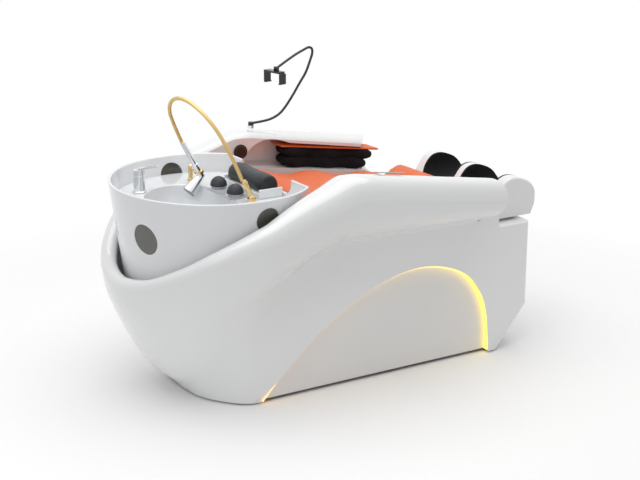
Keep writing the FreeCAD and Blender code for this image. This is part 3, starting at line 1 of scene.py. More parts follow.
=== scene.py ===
# %% [markdown]
# # A hair washing bed
# A salon bed on which a customer lies back and has their hair washed. A glossy white tub carries
# a round basin at its head, a long orange pad between two arms, and a calf rest at its foot.
# The CAD model is loaded as a fixed frame, in metres. Every piece below is made around it.

import contextlib
import json
import math

import bmesh
import bpy
import numpy as np
from mathutils import Matrix, Vector


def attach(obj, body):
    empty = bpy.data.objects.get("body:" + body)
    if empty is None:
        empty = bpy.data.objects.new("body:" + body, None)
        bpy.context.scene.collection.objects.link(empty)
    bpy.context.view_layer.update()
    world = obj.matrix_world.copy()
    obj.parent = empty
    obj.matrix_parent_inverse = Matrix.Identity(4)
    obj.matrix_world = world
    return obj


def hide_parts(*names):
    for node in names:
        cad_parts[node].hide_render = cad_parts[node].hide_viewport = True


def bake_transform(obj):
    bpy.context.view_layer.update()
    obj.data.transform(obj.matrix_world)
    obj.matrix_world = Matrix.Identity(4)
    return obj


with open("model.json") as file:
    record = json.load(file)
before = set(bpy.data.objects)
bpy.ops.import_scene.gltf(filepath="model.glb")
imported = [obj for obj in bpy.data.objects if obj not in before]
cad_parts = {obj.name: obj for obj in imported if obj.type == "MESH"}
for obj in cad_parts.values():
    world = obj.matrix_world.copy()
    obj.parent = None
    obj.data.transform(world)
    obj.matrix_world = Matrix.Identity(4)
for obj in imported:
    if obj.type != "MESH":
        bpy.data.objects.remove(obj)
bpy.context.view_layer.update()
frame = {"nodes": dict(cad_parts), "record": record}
record = frame["record"]
BODY_OF = {name: body for body, names in record["behaviour"]["bodies"].items() for name in names}
SLOT_OF = {part["node"]: part["material_slot"] for part in record["subparts"]}

# %% [markdown]
# ## The camera
# The photograph was taken from the head end's left, a little above the basin, from about six
# metres away. A long lens that far off keeps the bed's long sides almost parallel, as they are
# in the picture. The place and the lens come from a pinhole camera that was fitted.

# %% Camera
CAMERA_PLACE = (-2.9572, -4.9068, 2.2368)
CAMERA_WAY = (0.4976, 0.8184, -0.2874)
LENS_MM = 80.47
SENSOR_MM = 36
scene = bpy.context.scene
camera = bpy.data.objects.new("camera", bpy.data.cameras.new("camera"))
scene.collection.objects.link(camera)
camera.location = CAMERA_PLACE
camera.rotation_mode = "QUATERNION"
camera.rotation_quaternion = Vector(CAMERA_WAY).to_track_quat("-Z", "Y")
camera.data.sensor_width = SENSOR_MM
camera.data.lens = LENS_MM
scene.camera = camera
print("camera with a lens of", LENS_MM, "mm")

# %% [markdown]
# ## Small helpers
# A mesh is made from a list of points and a list of faces, and linked into the scene. Its object
# stays at the origin, with its place in its mesh, because the patterns of the materials read
# the object's own coordinates. Many pieces are rings of points that follow each other along a
# line, so the faces between rings come from one helper.

# %% Helpers for meshes


def show(name, mesh, smooth=True):
    """Link a mesh into the scene under a name of its own."""
    piece = bpy.data.objects.new(name, mesh)
    scene.collection.objects.link(piece)
    if smooth:
        mesh.shade_smooth()
    return piece


def skin(name, points, faces, smooth=True):
    """A new piece from points and faces."""
    mesh = bpy.data.meshes.new(name)
    mesh.from_pydata([tuple(point) for point in points], [], faces)
    mesh.validate()
    return show(name, mesh, smooth)


def ring_faces(rows, wide):
    """Quads between rings of points that follow each other, and a cap on the first and the last."""
    faces = []
    for row in range(rows - 1):
        for k in range(wide):
            a = row * wide + k
            b = row * wide + (k + 1) % wide
            faces.append((a, b, b + wide, a + wide))
    last = (rows - 1) * wide
    return faces + [tuple(reversed(range(wide))), tuple(range(last, last + wide))]


def settle(piece, body, slot, *nodes):
    """Tie a finished piece to its body and hide the nodes that it stands for. The slot is not used."""
    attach(piece, body)
    if nodes:
        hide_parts(*nodes)
    return piece


@contextlib.contextmanager
def opened(mesh):
    """A mesh as an open form, which is written back and closed after the work on it."""
    form = bmesh.new()
    form.from_mesh(mesh)
    yield form
    form.to_mesh(mesh)
    form.free()


def baked(piece):
    """Apply a piece's modifiers, so that its final mesh is plain."""
    view = bpy.context.evaluated_depsgraph_get()
    mesh = bpy.data.meshes.new_from_object(piece.evaluated_get(view))
    piece.modifiers.clear()
    piece.data = mesh
    return piece


# %% [markdown]
# ## A line for a hose
# The gold hose of the hand shower stands up in a stiff high arch. It is one fixed length of
# rubber tube, so its line is one NURBS spline that has the route's spots as its control points.
# The order is set after the points are added, because set before, it would stay at straight runs.

# %% Route of the hose
HOSE_ROUTE = [
    (-0.524, 0.160, 0.968), (-0.566, 0.138, 1.044), (-0.615, 0.083, 1.127), (-0.638, -0.010, 1.186),
    (-0.631, -0.097, 1.197), (-0.607, -0.169, 1.167), (-0.576, -0.206, 1.119), (-0.541, -0.219, 1.061),
    (-0.500, -0.207, 0.991), (-0.449, -0.173, 0.914), (-0.417, -0.148, 0.860),
]
HOSE_RADIUS = 0.0075
LINE_STEPS = 24
LINE_ORDER = 3


def smooth_line(route):
    """The points of one smooth line that is drawn by a route's spots."""
    curve = bpy.data.curves.new("line", "CURVE")
    curve.dimensions = "3D"
    spline = curve.splines.new("NURBS")
    spline.points.add(len(route) - 1)
    for point, spot in zip(spline.points, route):
        point.co = (*spot, 1)
    spline.order_u = LINE_ORDER
    spline.use_endpoint_u = True
    spline.resolution_u = LINE_STEPS
    carrier = show("line", curve, smooth=False)
    mesh = bpy.data.meshes.new_from_object(carrier)
    points = [vertex.co.copy() for vertex in mesh.vertices]
    bpy.data.objects.remove(carrier)
    bpy.data.meshes.remove(mesh)
    return points


def line_length(points):
    """The length of a line of points."""
    return sum((after - before).length for before, after in zip(points, points[1:]))


hose_line = smooth_line(HOSE_ROUTE)

# %% [markdown]
# ## Tubes with ribs
# A tube is swept along a line by hand: a ring of points is set square to the line at even steps
# and carried on without twist. The radius of each point may follow a rule, which gives the hose
# its fine screw thread as real geometry, and not as a bump that is lost on the outline.

# %% Sweep a tube along a line


def even_points(points, step):
    """Points at even steps along a line."""
    total = line_length(points)
    count = max(2, round(total / step))
    spots = np.array([tuple(point) for point in points])
    runs = np.linalg.norm(np.diff(spots, axis=0), axis=1)
    travelled = np.concatenate([[0], np.cumsum(runs)])
    wanted = np.linspace(0, total, count + 1)
    return [Vector(np.interp(wanted, travelled, spots[:, axis])[i] for axis in range(3))
            for i in range(count + 1)], wanted


def swept(name, points, step, sides, radius_at):
    """A closed tube along a line. radius_at gives its radius from the distance and the turn."""
    spots, distances = even_points(points, step)
    ways = [(after - before).normalized() for before, after in zip(spots, spots[1:])]
    ways.append(ways[-1])
    side = ways[0].orthogonal().normalized()
    corners = []
    for number, (spot, way, distance) in enumerate(zip(spots, ways, distances)):
        if number:
            side = (ways[number - 1].rotation_difference(way) @ side).normalized()
        other = way.cross(side)
        for k in range(sides):
            turn = 2 * math.pi * k / sides
            reach = radius_at(distance, turn)
            corners.append(spot + (side * math.cos(turn) + other * math.sin(turn)) * reach)
    return skin(name, corners, ring_faces(len(spots), sides))


HOSE_RIB_PITCH = 0.0030
HOSE_RIB_DEPTH = 0.00022
STEPS_PER_RIB = 4
HOSE_SIDES = 14


def hose_radius_at(distance, turn):
    """The hose's radius on its screw thread."""
    return HOSE_RADIUS - HOSE_RIB_DEPTH * (1 - math.cos(2 * math.pi * distance / HOSE_RIB_PITCH - turn))


hose = swept("gold_hose", hose_line, HOSE_RIB_PITCH / STEPS_PER_RIB, HOSE_SIDES, hose_radius_at)
print("hose of", len(hose.data.polygons), "faces")

# %% [markdown]
# ## Materials as expressions
# A finish wraps one material. Its `add` makes any node from a type, its settings and its values.
# What comes back is a wire, and arithmetic on wires adds the Math nodes, so that a pattern can be
# written down as a formula.

# %% Wires and finishes


class Wire:
    """A value on its way through a material."""

    def __init__(self, finish, socket):
        self.finish = finish
        self.socket = socket

    def math(self, operation, *values):
        return self.finish.add("Math", {"operation": operation}, dict(enumerate(values)))

    def __add__(self, other):
        return self.math("ADD", self, other)

    __radd__ = __add__

    def __mul__(self, other):
        return self.math("MULTIPLY", self, other)

    __rmul__ = __mul__

    def __sub__(self, other):
        return self.math("SUBTRACT", self, other)

    def __rsub__(self, other):
        return self.math("SUBTRACT", other, self)

    def __pow__(self, other):
        return self.math("POWER", self, other)

    def sine(self):
        return self.math("SINE", self)

    def clipped(self):
        above = self.math("MAXIMUM", self, 0.0)
        return above.math("MINIMUM", above, 1.0)


class Finish:
    """One material with its main shader, and patterns that are added as expressions."""

    def __init__(self, name, color, roughness, metallic=0.0, **plain):
        self.material = bpy.data.materials.new(name)
        self.material.use_nodes = True
        self.nodes = self.material.node_tree.nodes
        self.links = self.material.node_tree.links
        self.skin = self.nodes["Principled BSDF"]
        self.feed(self.skin.inputs["Base Color"], (*color, 1))
        self.feed(self.skin.inputs["Roughness"], roughness)
        self.feed(self.skin.inputs["Metallic"], metallic)
        for key, value in plain.items():
            self.feed(self.skin.inputs[key.replace("_", " ")], value)
        self.color = (*color, 1)
        self.roughness = roughness

    def feed(self, socket, value):
        if isinstance(value, Wire):
            self.links.new(value.socket, socket)
        else:
            socket.default_value = value

    def add(self, kind, settings=(), values=(), out=0):
        node = self.nodes.new("ShaderNode" + kind)
        for key, value in dict(settings).items():
            setattr(node, key, value)
        for key, value in dict(values).items():
            self.feed(node.inputs[key], value)
        return Wire(self, node.outputs[out])

    def place(self):
        """The piece's own coordinates, in metres."""
        return self.add("TexCoord", out="Object")

    def axis(self, letter):
        return self.add("SeparateXYZ", {}, {"Vector": self.place()}, out=letter)

    def noise(self, scale, detail=2.0):
        return self.add("TexNoise", {}, {"Vector": self.place(), "Scale": scale, "Detail": detail})

    def cells(self, scale, feature="F1"):
        return self.add("TexVoronoi", {"feature": feature}, {"Vector": self.place(), "Scale": scale},
                        out="Distance")

    def mixed(self, share, first, second):
        """A colour between two colours."""
        return self.add("Mix", {"data_type": "RGBA"}, {0: share, 6: first, 7: second}, out=2)

    def tint(self, share, other):
        """Let the colour drift towards another by a share that changes over the surface."""
        self.feed(self.skin.inputs["Base Color"], self.mixed(share, self.color, (*other, 1)))

    def wear(self, change):
        """Roughness that changes over the surface round its plain value."""
        self.feed(self.skin.inputs["Roughness"], change + self.roughness)

    def relief(self, height, distance):
        """A small relief, its depth in metres."""
        bump = self.add("Bump", {}, {"Height": height, "Distance": distance, "Strength": 1.0})
        self.feed(self.skin.inputs["Normal"], bump)


# %% [markdown]
# ## Moulded plastics
# The tub, the basin and the calf rest are glass fibre mouldings with a white gelcoat: very
# smooth, but with a faint orange peel and a slow ripple that bend the reflections a little.
# The noise is kept so low that it shows only in the highlights.

# %% Gelcoat and moulded plastic
FINISHES = {}
# Noise scales are in swings per metre, depths in metres
TONE_SCALE, WEAR_SCALE, PEEL_SCALE, RIPPLE_SCALE = 2.2, 9.0, 240.0, 11.0
PEEL_SHARE, RIPPLE_SHARE, GELCOAT_DEPTH = 0.08, 0.9, 0.0006
FINE_DETAIL = 3.0


def gelcoat(slot, color, shade, roughness):
    """A glossy coat over white, with a faint peel and a slow ripple."""
    finish = Finish(slot, color, roughness, Coat_Weight=0.5, Coat_Roughness=0.06)
    finish.tint(finish.noise(TONE_SCALE, FINE_DETAIL), shade)
    finish.wear(0.05 * finish.noise(WEAR_SCALE, FINE_DETAIL))
    peel = finish.noise(PEEL_SCALE) * PEEL_SHARE
    finish.relief(peel + finish.noise(RIPPLE_SCALE) * RIPPLE_SHARE, GELCOAT_DEPTH)
    FINISHES[slot] = finish


gelcoat("shell_white", (0.84, 0.845, 0.85), (0.82, 0.825, 0.83), 0.10)
gelcoat("basin_white", (0.82, 0.835, 0.85), (0.80, 0.815, 0.835), 0.12)
gelcoat("panel_white", (0.80, 0.79, 0.78), (0.78, 0.77, 0.765), 0.28)
gelcoat("grey_stand", (0.50, 0.52, 0.55), (0.47, 0.49, 0.52), 0.2)
gelcoat("strip_grey", (0.42, 0.43, 0.45), (0.38, 0.39, 0.41), 0.3)


CLOUD_SCALE, CLOUD_SHARE, DARKER, RUB_SCALE = 14.0, 0.6, 0.8, 30.0


def moulded(slot, color, roughness, grain, depth):
    """Plastic or rubber with the fine sand grain of its mould."""
    finish = Finish(slot, color, roughness)
    finish.tint(finish.noise(CLOUD_SCALE, FINE_DETAIL) * CLOUD_SHARE, tuple(part * DARKER for part in color))
    finish.wear(0.08 * finish.noise(RUB_SCALE))
    finish.relief(finish.noise(grain, FINE_DETAIL), depth)
    FINISHES[slot] = finish


moulded("grey_plastic", (0.36, 0.37, 0.38), 0.42, 900.0, 0.00025)
moulded("black_rubber", (0.022, 0.024, 0.03), 0.46, 800.0, 0.0003)
moulded("black_gloss", (0.010, 0.010, 0.012), 0.16, 300.0, 0.00004)
moulded("black_coat", (0.014, 0.014, 0.015), 0.34, 1200.0, 0.0001)
moulded("frame_paint", (0.17, 0.18, 0.19), 0.45, 700.0, 0.0004)
print("moulded finishes:", ", ".join(FINISHES))

# %% [markdown]
# ## Leather and cloth
# The orange pad is a fine coated leather: its grain is a net of small cells with soft creases.
# The arm cushions are a black cloth with a close weave. Both patterns read the piece's own
# coordinates, because remeshed cushions have no map of their surface.

# %% Leather and cloth
CREASE_SCALE, CREASE_DETAIL, CREASE_WEAR, BUCKLE_SCALE = 26.0, 4.0, 0.14, 55.0


def leather(slot, color, shade, roughness, grain, depth):
    """Coated leather: small pebbles, soft creases and slow buckles."""
    finish = Finish(slot, color, roughness, Specular_IOR_Level=0.35)
    pebbles = finish.cells(grain)
    creases = finish.noise(CREASE_SCALE, CREASE_DETAIL)
    finish.tint(creases * 0.55 + pebbles * 0.35, shade)
    finish.wear(CREASE_WEAR * creases - CREASE_WEAR / 2)
    finish.relief(pebbles * 0.8 + finish.noise(BUCKLE_SCALE, FINE_DETAIL) * 1.5, depth)
    FINISHES[slot] = finish


leather("orange_leather", (0.80, 0.185, 0.065), (0.70, 0.135, 0.045), 0.55, 620.0, 0.0004)
leather("black_leather", (0.020, 0.022, 0.028), (0.010, 0.011, 0.014), 0.40, 520.0, 0.0005)


LINT_SCALE, FLEECE_SCALE, WEAVE_SHARE = 40.0, 300.0, 0.5


def woven(slot, color, shade, pitch, depth):
    """Dull cloth: a close weave of crossing waves under a short fleece."""
    finish = Finish(slot, color, 0.9, Specular_IOR_Level=0.2)
    turns = 2 * math.pi / pitch
    warp = (finish.axis("X") * turns).sine()
    weft = ((finish.axis("Y") + finish.axis("Z")) * turns).sine()
    finish.tint(finish.noise(LINT_SCALE, FINE_DETAIL), shade)
    finish.relief(warp * weft * WEAVE_SHARE + finish.noise(FLEECE_SCALE, FINE_DETAIL), depth)
    FINISHES[slot] = finish


woven("black_cushion", (0.006, 0.006, 0.007), (0.012, 0.012, 0.014), 0.0016, 0.0004)
print("soft finishes made")

# %% [markdown]
# ## Metals, glass, wood and light
# The fittings are plated: bright chrome with faint water marks, and warm brass. The hose is a
# rubber tube with a metallic gold skin. The windows in the basin are opaque dark olive sheets under
# a glossy coat. Their darkness is painted shade for the unlit hollow behind them. The light strip's
# glow is painted faint and reddish at the head end and a bright warm yellow at the foot end, a
# painted shade along the strip.

# %% Metals, glass, wood and light
MARK_SCALE, MARK_DETAIL, MARK_SHARE, MARK_DARKER = 90.0, 4.0, 0.4, 0.86


def plated(slot, color, roughness, spots):
    """Bright plating with faint water marks."""
    finish = Finish(slot, color, roughness, metallic=1.0)
    marks = finish.noise(MARK_SCALE, MARK_DETAIL)
    finish.tint(marks * MARK_SHARE, tuple(part * MARK_DARKER for part in color))
    finish.wear(marks * spots)
    FINISHES[slot] = finish


plated("chrome", (0.80, 0.81, 0.83), 0.04, 0.08)
plated("gold_metal", (0.80, 0.60, 0.30), 0.16, 0.10)
plated("gold_hose", (0.70, 0.50, 0.20), 0.30, 0.12)
plated("zinc_steel", (0.60, 0.61, 0.63), 0.28, 0.16)

GLASS_SCALE, SMEAR_SCALE = 7.0, 40.0
# An opaque dark olive sheet with a glossy coat: painted shade for the unlit hollow behind the basin's
# windows.
shade_sheet = Finish("dark_glass", (0.045, 0.044, 0.036), 0.05, Coat_Weight=0.6, Coat_Roughness=0.03)
shade_sheet.tint(shade_sheet.noise(GLASS_SCALE), (0.11, 0.11, 0.095))
shade_sheet.wear(0.03 * shade_sheet.noise(SMEAR_SCALE))
FINISHES["dark_glass"] = shade_sheet

# The glow's fade from bright yellow at the foot end to faint reddish at the head end is painted shade along
# the strip, not a dimmer lamp.
GLOW_START, GLOW_LENGTH, GLOW_RISE = -0.45, 1.0, 2.2
PAINTED_DIM_HEAD_GLOW, FOOT_GLOW = (0.55, 0.30, 0.14, 1), (1.0, 0.74, 0.02, 1)
glow = Finish("warm_light", (0.9, 0.75, 0.4), 0.4, Emission_Strength=1.5)
painted_glow_fade = ((glow.axis("X") - GLOW_START) * (1 / GLOW_LENGTH)).clipped() ** GLOW_RISE
glow.feed(glow.skin.inputs["Emission Color"], glow.mixed(painted_glow_fade, PAINTED_DIM_HEAD_GLOW, FOOT_GLOW))
FINISHES["warm_light"] = glow

VENEER_SCALE, VENEER_DETAIL, VENEER_SWAY, VENEER_LINES, VENEER_DEPTH = 6.0, 4.0, 60.0, 90.0, 0.0002
wood = Finish("board_wood", (0.52, 0.36, 0.20), 0.6)
rings = (wood.noise(VENEER_SCALE, VENEER_DETAIL) * VENEER_SWAY + wood.axis("Y") * VENEER_LINES).sine()
wood.tint(rings * 0.5 + 0.5, (0.40, 0.26, 0.14))
wood.relief(rings, VENEER_DEPTH)
FINISHES["board_wood"] = wood
print(len(FINISHES), "finishes")


def paint(piece, slot):
    """Give a piece the finish of a slot."""
    piece.data.materials.clear()
    piece.data.materials.append(FINISHES[slot].material)
    return piece


# %% [markdown]
# ## Finished copies of the hard parts
# A CAD node comes as loose flat triangles. A copy of it is merged into one skin, its flat faces
# are joined, and its edges get the small rounding that every moulded or turned part has. The copy
# then stands for the node. The rounding is what catches the light along an edge. The control's
# ring and button stand out by a hair, so that they turn and press without rubbing.

# %% Copy, merge and round
FLAT_ANGLE = math.radians(0.4)
SHARP_ANGLE = math.radians(32)
MERGE_GAP = 0.00002
EDGE_SEGMENTS = 2


def merged(node, name, flatten=True):
    """A copy of a node's mesh as one skin."""
    mesh = bpy.data.meshes.new(name)
    with opened(mesh) as form:
        form.from_mesh(frame["nodes"][node].data)
        bmesh.ops.remove_doubles(form, verts=form.verts, dist=MERGE_GAP)
        if flatten:
            bmesh.ops.dissolve_limit(form, angle_limit=FLAT_ANGLE, verts=form.verts, edges=form.edges)
        for edge in form.edges:
            edge.smooth = len(edge.link_faces) == 2 and edge.calc_face_angle(math.pi) < SHARP_ANGLE
        for face in form.faces:
            face.smooth = True
    return show(name, mesh, smooth=False)


def finished(node, edge):
    """A node's merged copy with rounded edges and its slot's finish."""
    piece = merged(node, node + "_finished")
    bevel = piece.modifiers.new("edge", "BEVEL")
    bevel.limit_method = "ANGLE"
    bevel.angle_limit = SHARP_ANGLE
    bevel.width = edge
    bevel.segments = EDGE_SEGMENTS
    bevel.use_clamp_overlap = True
    even = piece.modifiers.new("even", "WEIGHTED_NORMAL")
    even.keep_sharp = True
    if node in PROUD:
        baked(piece)
        piece.data.transform(Matrix.Translation(PROUD[node]))
    paint(piece, SLOT_OF[node])
    return settle(piece, BODY_OF[node], SLOT_OF[node], node)


PROUD = {"control_ring": (0, -0.0004, 0), "control_button": (0, -0.0004, 0)}
PLAIN_EDGE = 0.0006
EDGES = {
    "control_strip": 0.0008, "light_panel_far": 0.002, "light_panel_near": 0.002,
    "light_strip_far": 0.001, "light_strip_near": 0.001, "base_frame": 0.002, "bed_board": 0.001,
    "basin_skirt": 0.0055, "basin_bowl": 0.004, "neck_saddle": 0.003, "head_rest_stand": 0.002,
    "leg_rest": 0.006, "leg_rest_liners": 0.003, "clip_back": 0.0003, "clip_jaw": 0.0003,
    "air_pump": 0.004, "power_supply": 0.004, "mixer_cap": 0.0015, "mixer_body": 0.0015,
    "mixer_lever": 0.0012, "handset": 0.0015, "handset_holder": 0.0012,
}
SOFT_NODES = ["bed_pad", "knee_bolster", "neck_pillow"]
for side in ("near", "far"):
    SOFT_NODES += [name + side for name in ("arm_lining_", "arm_cushion_upper_", "arm_cushion_lower_")]
OWN_NODES = ["shower_hose", "body_shell"]
for name in sorted(BODY_OF):
    if name not in SOFT_NODES + OWN_NODES:
        finished(name, EDGES.get(name, PLAIN_EDGE))
print("finished copies of the hard parts made")

# %% [markdown]
# ## Lines without overshoot
# The tub's wall is drawn by a few heights and widths along its run. Between them, a line eases
# from value to value and never swings past one, because a swing would show as a wave in the gloss.

# %% Eased lines


def eased(knots, values, wanted):
    """Values between a few known ones, on a smooth line that never swings past them."""
    knots, values = np.asarray(knots, float), np.asarray(values, float)
    runs = np.diff(knots)
    rises = np.diff(values) / runs
    slopes = np.concatenate([rises[:1], rises[:-1], rises[-1:]])
    for i in range(1, len(values) - 1):
        before, after = rises[i - 1], rises[i]
        if before * after <= 0:
            slopes[i] = 0
        else:
            first, second = 2 * runs[i] + runs[i - 1], runs[i] + 2 * runs[i - 1]
            slopes[i] = (first + second) / (first / before + second / after)
    place = np.clip(np.searchsorted(knots, wanted) - 1, 0, len(runs) - 1)
    t = (wanted - knots[place]) / runs[place]
    run, low, high = runs[place], values[place], values[place + 1]
    return ((2 * t + 1) * (t - 1) ** 2 * low + t * (t - 1) ** 2 * run * slopes[place]
            + t * t * (3 - 2 * t) * high + t * t * (t - 1) * run * slopes[place + 1])


def eased_line(corners, per_run):
    """A smooth line through corner points, with some points on each run between two."""
    corners = np.array(corners)
    travelled = np.concatenate([[0], np.cumsum(np.linalg.norm(np.diff(corners, axis=0), axis=1))])
    wanted = []
    for low, high, count in zip(travelled, travelled[1:], per_run):
        wanted += list(low + (high - low) * np.arange(count) / count)
    wanted = np.array(wanted + [travelled[-1]])
    return np.column_stack([eased(travelled, corners[:, axis], wanted) for axis in range(2)])


# %% [markdown]
# ## The tub's wall
# The wall starts at the head end's bow, low over its hanging belly, and rises along each side to
# an arm. Its section changes with the run: at the bow it is a plain hanging wall under a round
# rim, and at the arms it is an upright side with a fat bulge above. The inner face always keeps
# clear of the basin's skirt. The wall is one closed skin of even squares, so that the gloss runs
# over it without a break, which the CAD's ruled faces can't give.

# %% Section of the wall
# The bow's centre and height, the arms' height, slope and ends, in metres
BOW_X, BOW_TOP, ARM_TOP, ARM_SLOPE = -0.480, 0.512, 0.920, 0.1455
SLOPE_START, ARM_END = -0.115, 0.600
# The wall's foot at the bow and at the sides, its gap to the floor and its thickness
BASE_REACH, SIDE_HALF, FLOOR_GAP, WALL = 0.165, 0.358, 0.008, 0.018
# The arms' inner face, the rim's and the arm's roll, and where the bulge is widest and ends below
ARM_INNER, BOW_ROLL, ARM_ROLL, BULGE_DROP, BULGE_BREAK = 0.400, 0.066, 0.142, 0.095, 0.612
ARM_LIP_DROP, INNER_BLEND = 0.022, 0.367
# The skirt of the basin, an upright cone that the wall keeps clear of, and where it ends
BASIN_HALF = (0.397, 0.433)
BASIN_RIM, TAPER, RIM_GAP, BASIN_END = 0.852, 0.127, 0.014, -0.222
# Shares along the half tub, whose run is counted from the bow's middle: base, rise and swell
RUN_KNOTS = [-0.15, 0.0, 0.15, 0.30, 0.45, 0.60, 0.74, 0.859, 0.967, 1.054, 1.68]
BASE_SHARES = [0.06, 0.0, 0.06, 0.25, 0.52, 0.87, 0.98, 1.0, 1.0, 1.0, 1.0]
RISE_SHARES = [0.05, 0.0, 0.05, 0.21, 0.44, 0.645, 0.80, 0.90, 0.98, 1.0, 1.0]
SWELL_SHARES = [0.0, 0.0, 0.0, 0.05, 0.20, 0.45, 0.70, 0.88, 0.98, 1.0, 1.0]
BOW_RUN = 0.60
# Shares of the outer face, from its foot up to where it is widest: height and reach at the bow,
# height below and above the bulge's break and reach at an arm, and the inner face's reach there
BOW_HEIGHTS = [0.0, 0.07, 0.18, 0.31, 0.45, 0.59, 0.73, 0.87, 1.0]
BOW_OUTS = [0.0, 0.12, 0.34, 0.52, 0.66, 0.78, 0.89, 0.968, 1.0]
SIDE_LOWS = [0.0, 0.5, 0.9, 0.975, 1.0, 1.0, 1.0, 1.0, 1.0]
SIDE_HIGHS = [0.0, 0.0, 0.0, 0.0, 0.03, 0.17, 0.38, 0.68, 1.0]
SIDE_OUTS = [0.0, 0.0, 0.0, 0.0, 0.07, 0.38, 0.70, 0.90, 1.0]
ARM_INS = [0.0, 0.0, 0.0, 0.0, 0.08, 0.70, 1.0, 1.0]
# Shares over the rim: reach and height on its outer half, its crest, and the same on its inner half
OUTER_TOPS = ((0.975, 0.34), (0.90, 0.66), (0.77, 0.88))
CREST_SHARES = (0.50, 0.56)
INNER_TOPS = ((0.23, 0.86), (0.06, 0.45))


def mix(low, high, share):
    """A value between two others."""
    return low + (high - low) * share


def skirt_halves(z):
    """Half the skirt's length and width at a height."""
    drop = (BASIN_RIM - z) * TAPER
    return BASIN_HALF[0] - drop, BASIN_HALF[1] - drop


def basin_reach(turn, z):
    """The skirt's reach from the bow's centre in one direction."""
    half_long, half_wide = skirt_halves(z)
    return 1 / math.hypot(math.cos(turn) / half_long, math.sin(turn) / half_wide)


def basin_room(along, turn, z):
    """How far out the skirt stands, beside one place of the wall."""
    if along <= BOW_X:
        return basin_reach(turn, z)
    half_long, half_wide = skirt_halves(z)
    off = (along - BOW_X) / half_long
    return half_wide * math.sqrt(max(0.0, 1 - off * off)) if along < BASIN_END else 0.0


def wall_section(run):
    """The wall's outline at one run: outer face, rim and inner face, as reaches and heights."""
    base, rise, swell = (eased(RUN_KNOTS, shares, run) for shares in (BASE_SHARES, RISE_SHARES, SWELL_SHARES))
    along = BOW_X + max(0.0, run - BOW_RUN)
    rim = mix(BOW_TOP, ARM_TOP, rise) - ARM_SLOPE * max(0.0, along - SLOPE_START)
    turn = math.pi - math.pi / 2 * min(1.0, run / BOW_RUN)
    start_in = basin_reach(turn, rim) + RIM_GAP
    inner = mix(start_in, ARM_INNER, min(1.0, max(0.0, run - BOW_RUN) / INNER_BLEND))
    widest = inner + mix(BOW_ROLL, ARM_ROLL, swell)
    widest_z = rim - mix(BOW_ROLL / 2, BULGE_DROP, swell)
    foot = mix(BASE_REACH, SIDE_HALF, base)
    outer = []
    for bow_z, bow_out, low, high, out in zip(BOW_HEIGHTS, BOW_OUTS, SIDE_LOWS, SIDE_HIGHS, SIDE_OUTS):
        side_z = mix(FLOOR_GAP, BULGE_BREAK, low) + (widest_z - BULGE_BREAK) * high
        outer.append((mix(foot, widest, mix(bow_out, out, swell)),
                      mix(mix(FLOOR_GAP, widest_z, bow_z), side_z, swell)))
    lip_z = rim - mix(BOW_ROLL / 2, ARM_LIP_DROP, swell)
    top = [(mix(inner, widest, share), mix(widest_z, rim, up)) for share, up in OUTER_TOPS]
    top.append((mix(inner, widest, mix(*CREST_SHARES, swell)), rim))
    top += [(mix(inner, widest, share), mix(lip_z, rim, up)) for share, up in INNER_TOPS]
    inside = [(inner, lip_z)]
    for (reach, z), arm_share in reversed(list(zip(outer, ARM_INS))):
        arm_in = mix(SIDE_HALF - WALL, ARM_INNER, arm_share)
        clear = basin_room(along, turn, z) + RIM_GAP
        inside.append((min(reach - WALL, max(mix(reach - WALL, arm_in, swell), clear)), z))
    return outer, top, inside


# %% Skin of the wall
OUTER_RUNS = (6, 5, 3, 3, 4, 4, 4, 4)
TOP_RUNS = (3, 3, 3, 4, 4, 3, 2)
INNER_RUNS = (2, 3, 3, 3, 3, 2, 3, 3)
BOW_STEPS, SIDE_STEPS = 49, 90
# The arm's end is cut on a slant above a height, and further out it ends later
ARM_CUT_X, ARM_CUT_SLOPE, CUT_LOW, CUT_RISE = 0.487, 0.733, 0.600, 0.075


def wall_points(run, side):
    """Points of one section in the frame, for one side of the bed."""
    outer, top, inside = wall_section(run)
    line = np.vstack([eased_line(outer, OUTER_RUNS)[:-1],
                      eased_line([outer[-1]] + top + [inside[0]], TOP_RUNS)[:-1],
                      eased_line(inside, INNER_RUNS)])
    reach, z = line[:, 0], line[:, 1]
    if run <= BOW_RUN:
        turn = math.pi - math.pi / 2 * run / BOW_RUN
        return np.column_stack([BOW_X + reach * math.cos(turn), side * reach * math.sin(turn), z])
    share = (run - BOW_RUN) / (ARM_END - BOW_X)
    lift = np.clip((z - CUT_LOW) / CUT_RISE, 0, 1)
    slanted = np.minimum(ARM_END, ARM_CUT_X + (reach - ARM_INNER) * ARM_CUT_SLOPE)
    last = mix(np.full(len(z), ARM_END), slanted, lift)
    return np.column_stack([mix(BOW_X, last, share), side * reach, z])


def tub_wall():
    """The horseshoe wall as one skin of quads, closed below and at both arm ends."""
    runs = list(np.linspace(0, BOW_RUN, BOW_STEPS))
    runs += list(np.linspace(BOW_RUN, RUN_KNOTS[-1], SIDE_STEPS)[1:])
    rows = [wall_points(run, -1) for run in reversed(runs)] + [wall_points(run, 1) for run in runs[1:]]
    return skin("tub_wall", np.vstack(rows), ring_faces(len(rows), len(rows[0])))


# %% [markdown]
# ## The foot end's box
# Below the arms' ends, the tub ends in a low box with round upright corners and an undercut toe.

# %% Foot box
FOOT_START, FOOT_END, LEDGE, TOE_LENGTH, TOE_HEIGHT = 0.560, 0.870, 0.561, 0.150, 0.180
FOOT_ROUND, LEDGE_ROUND, HAIR = 0.040, 0.008, 0.0003
CORNER_STEPS, TOE_STEPS, ROUND_STEPS = 8, 6, 4


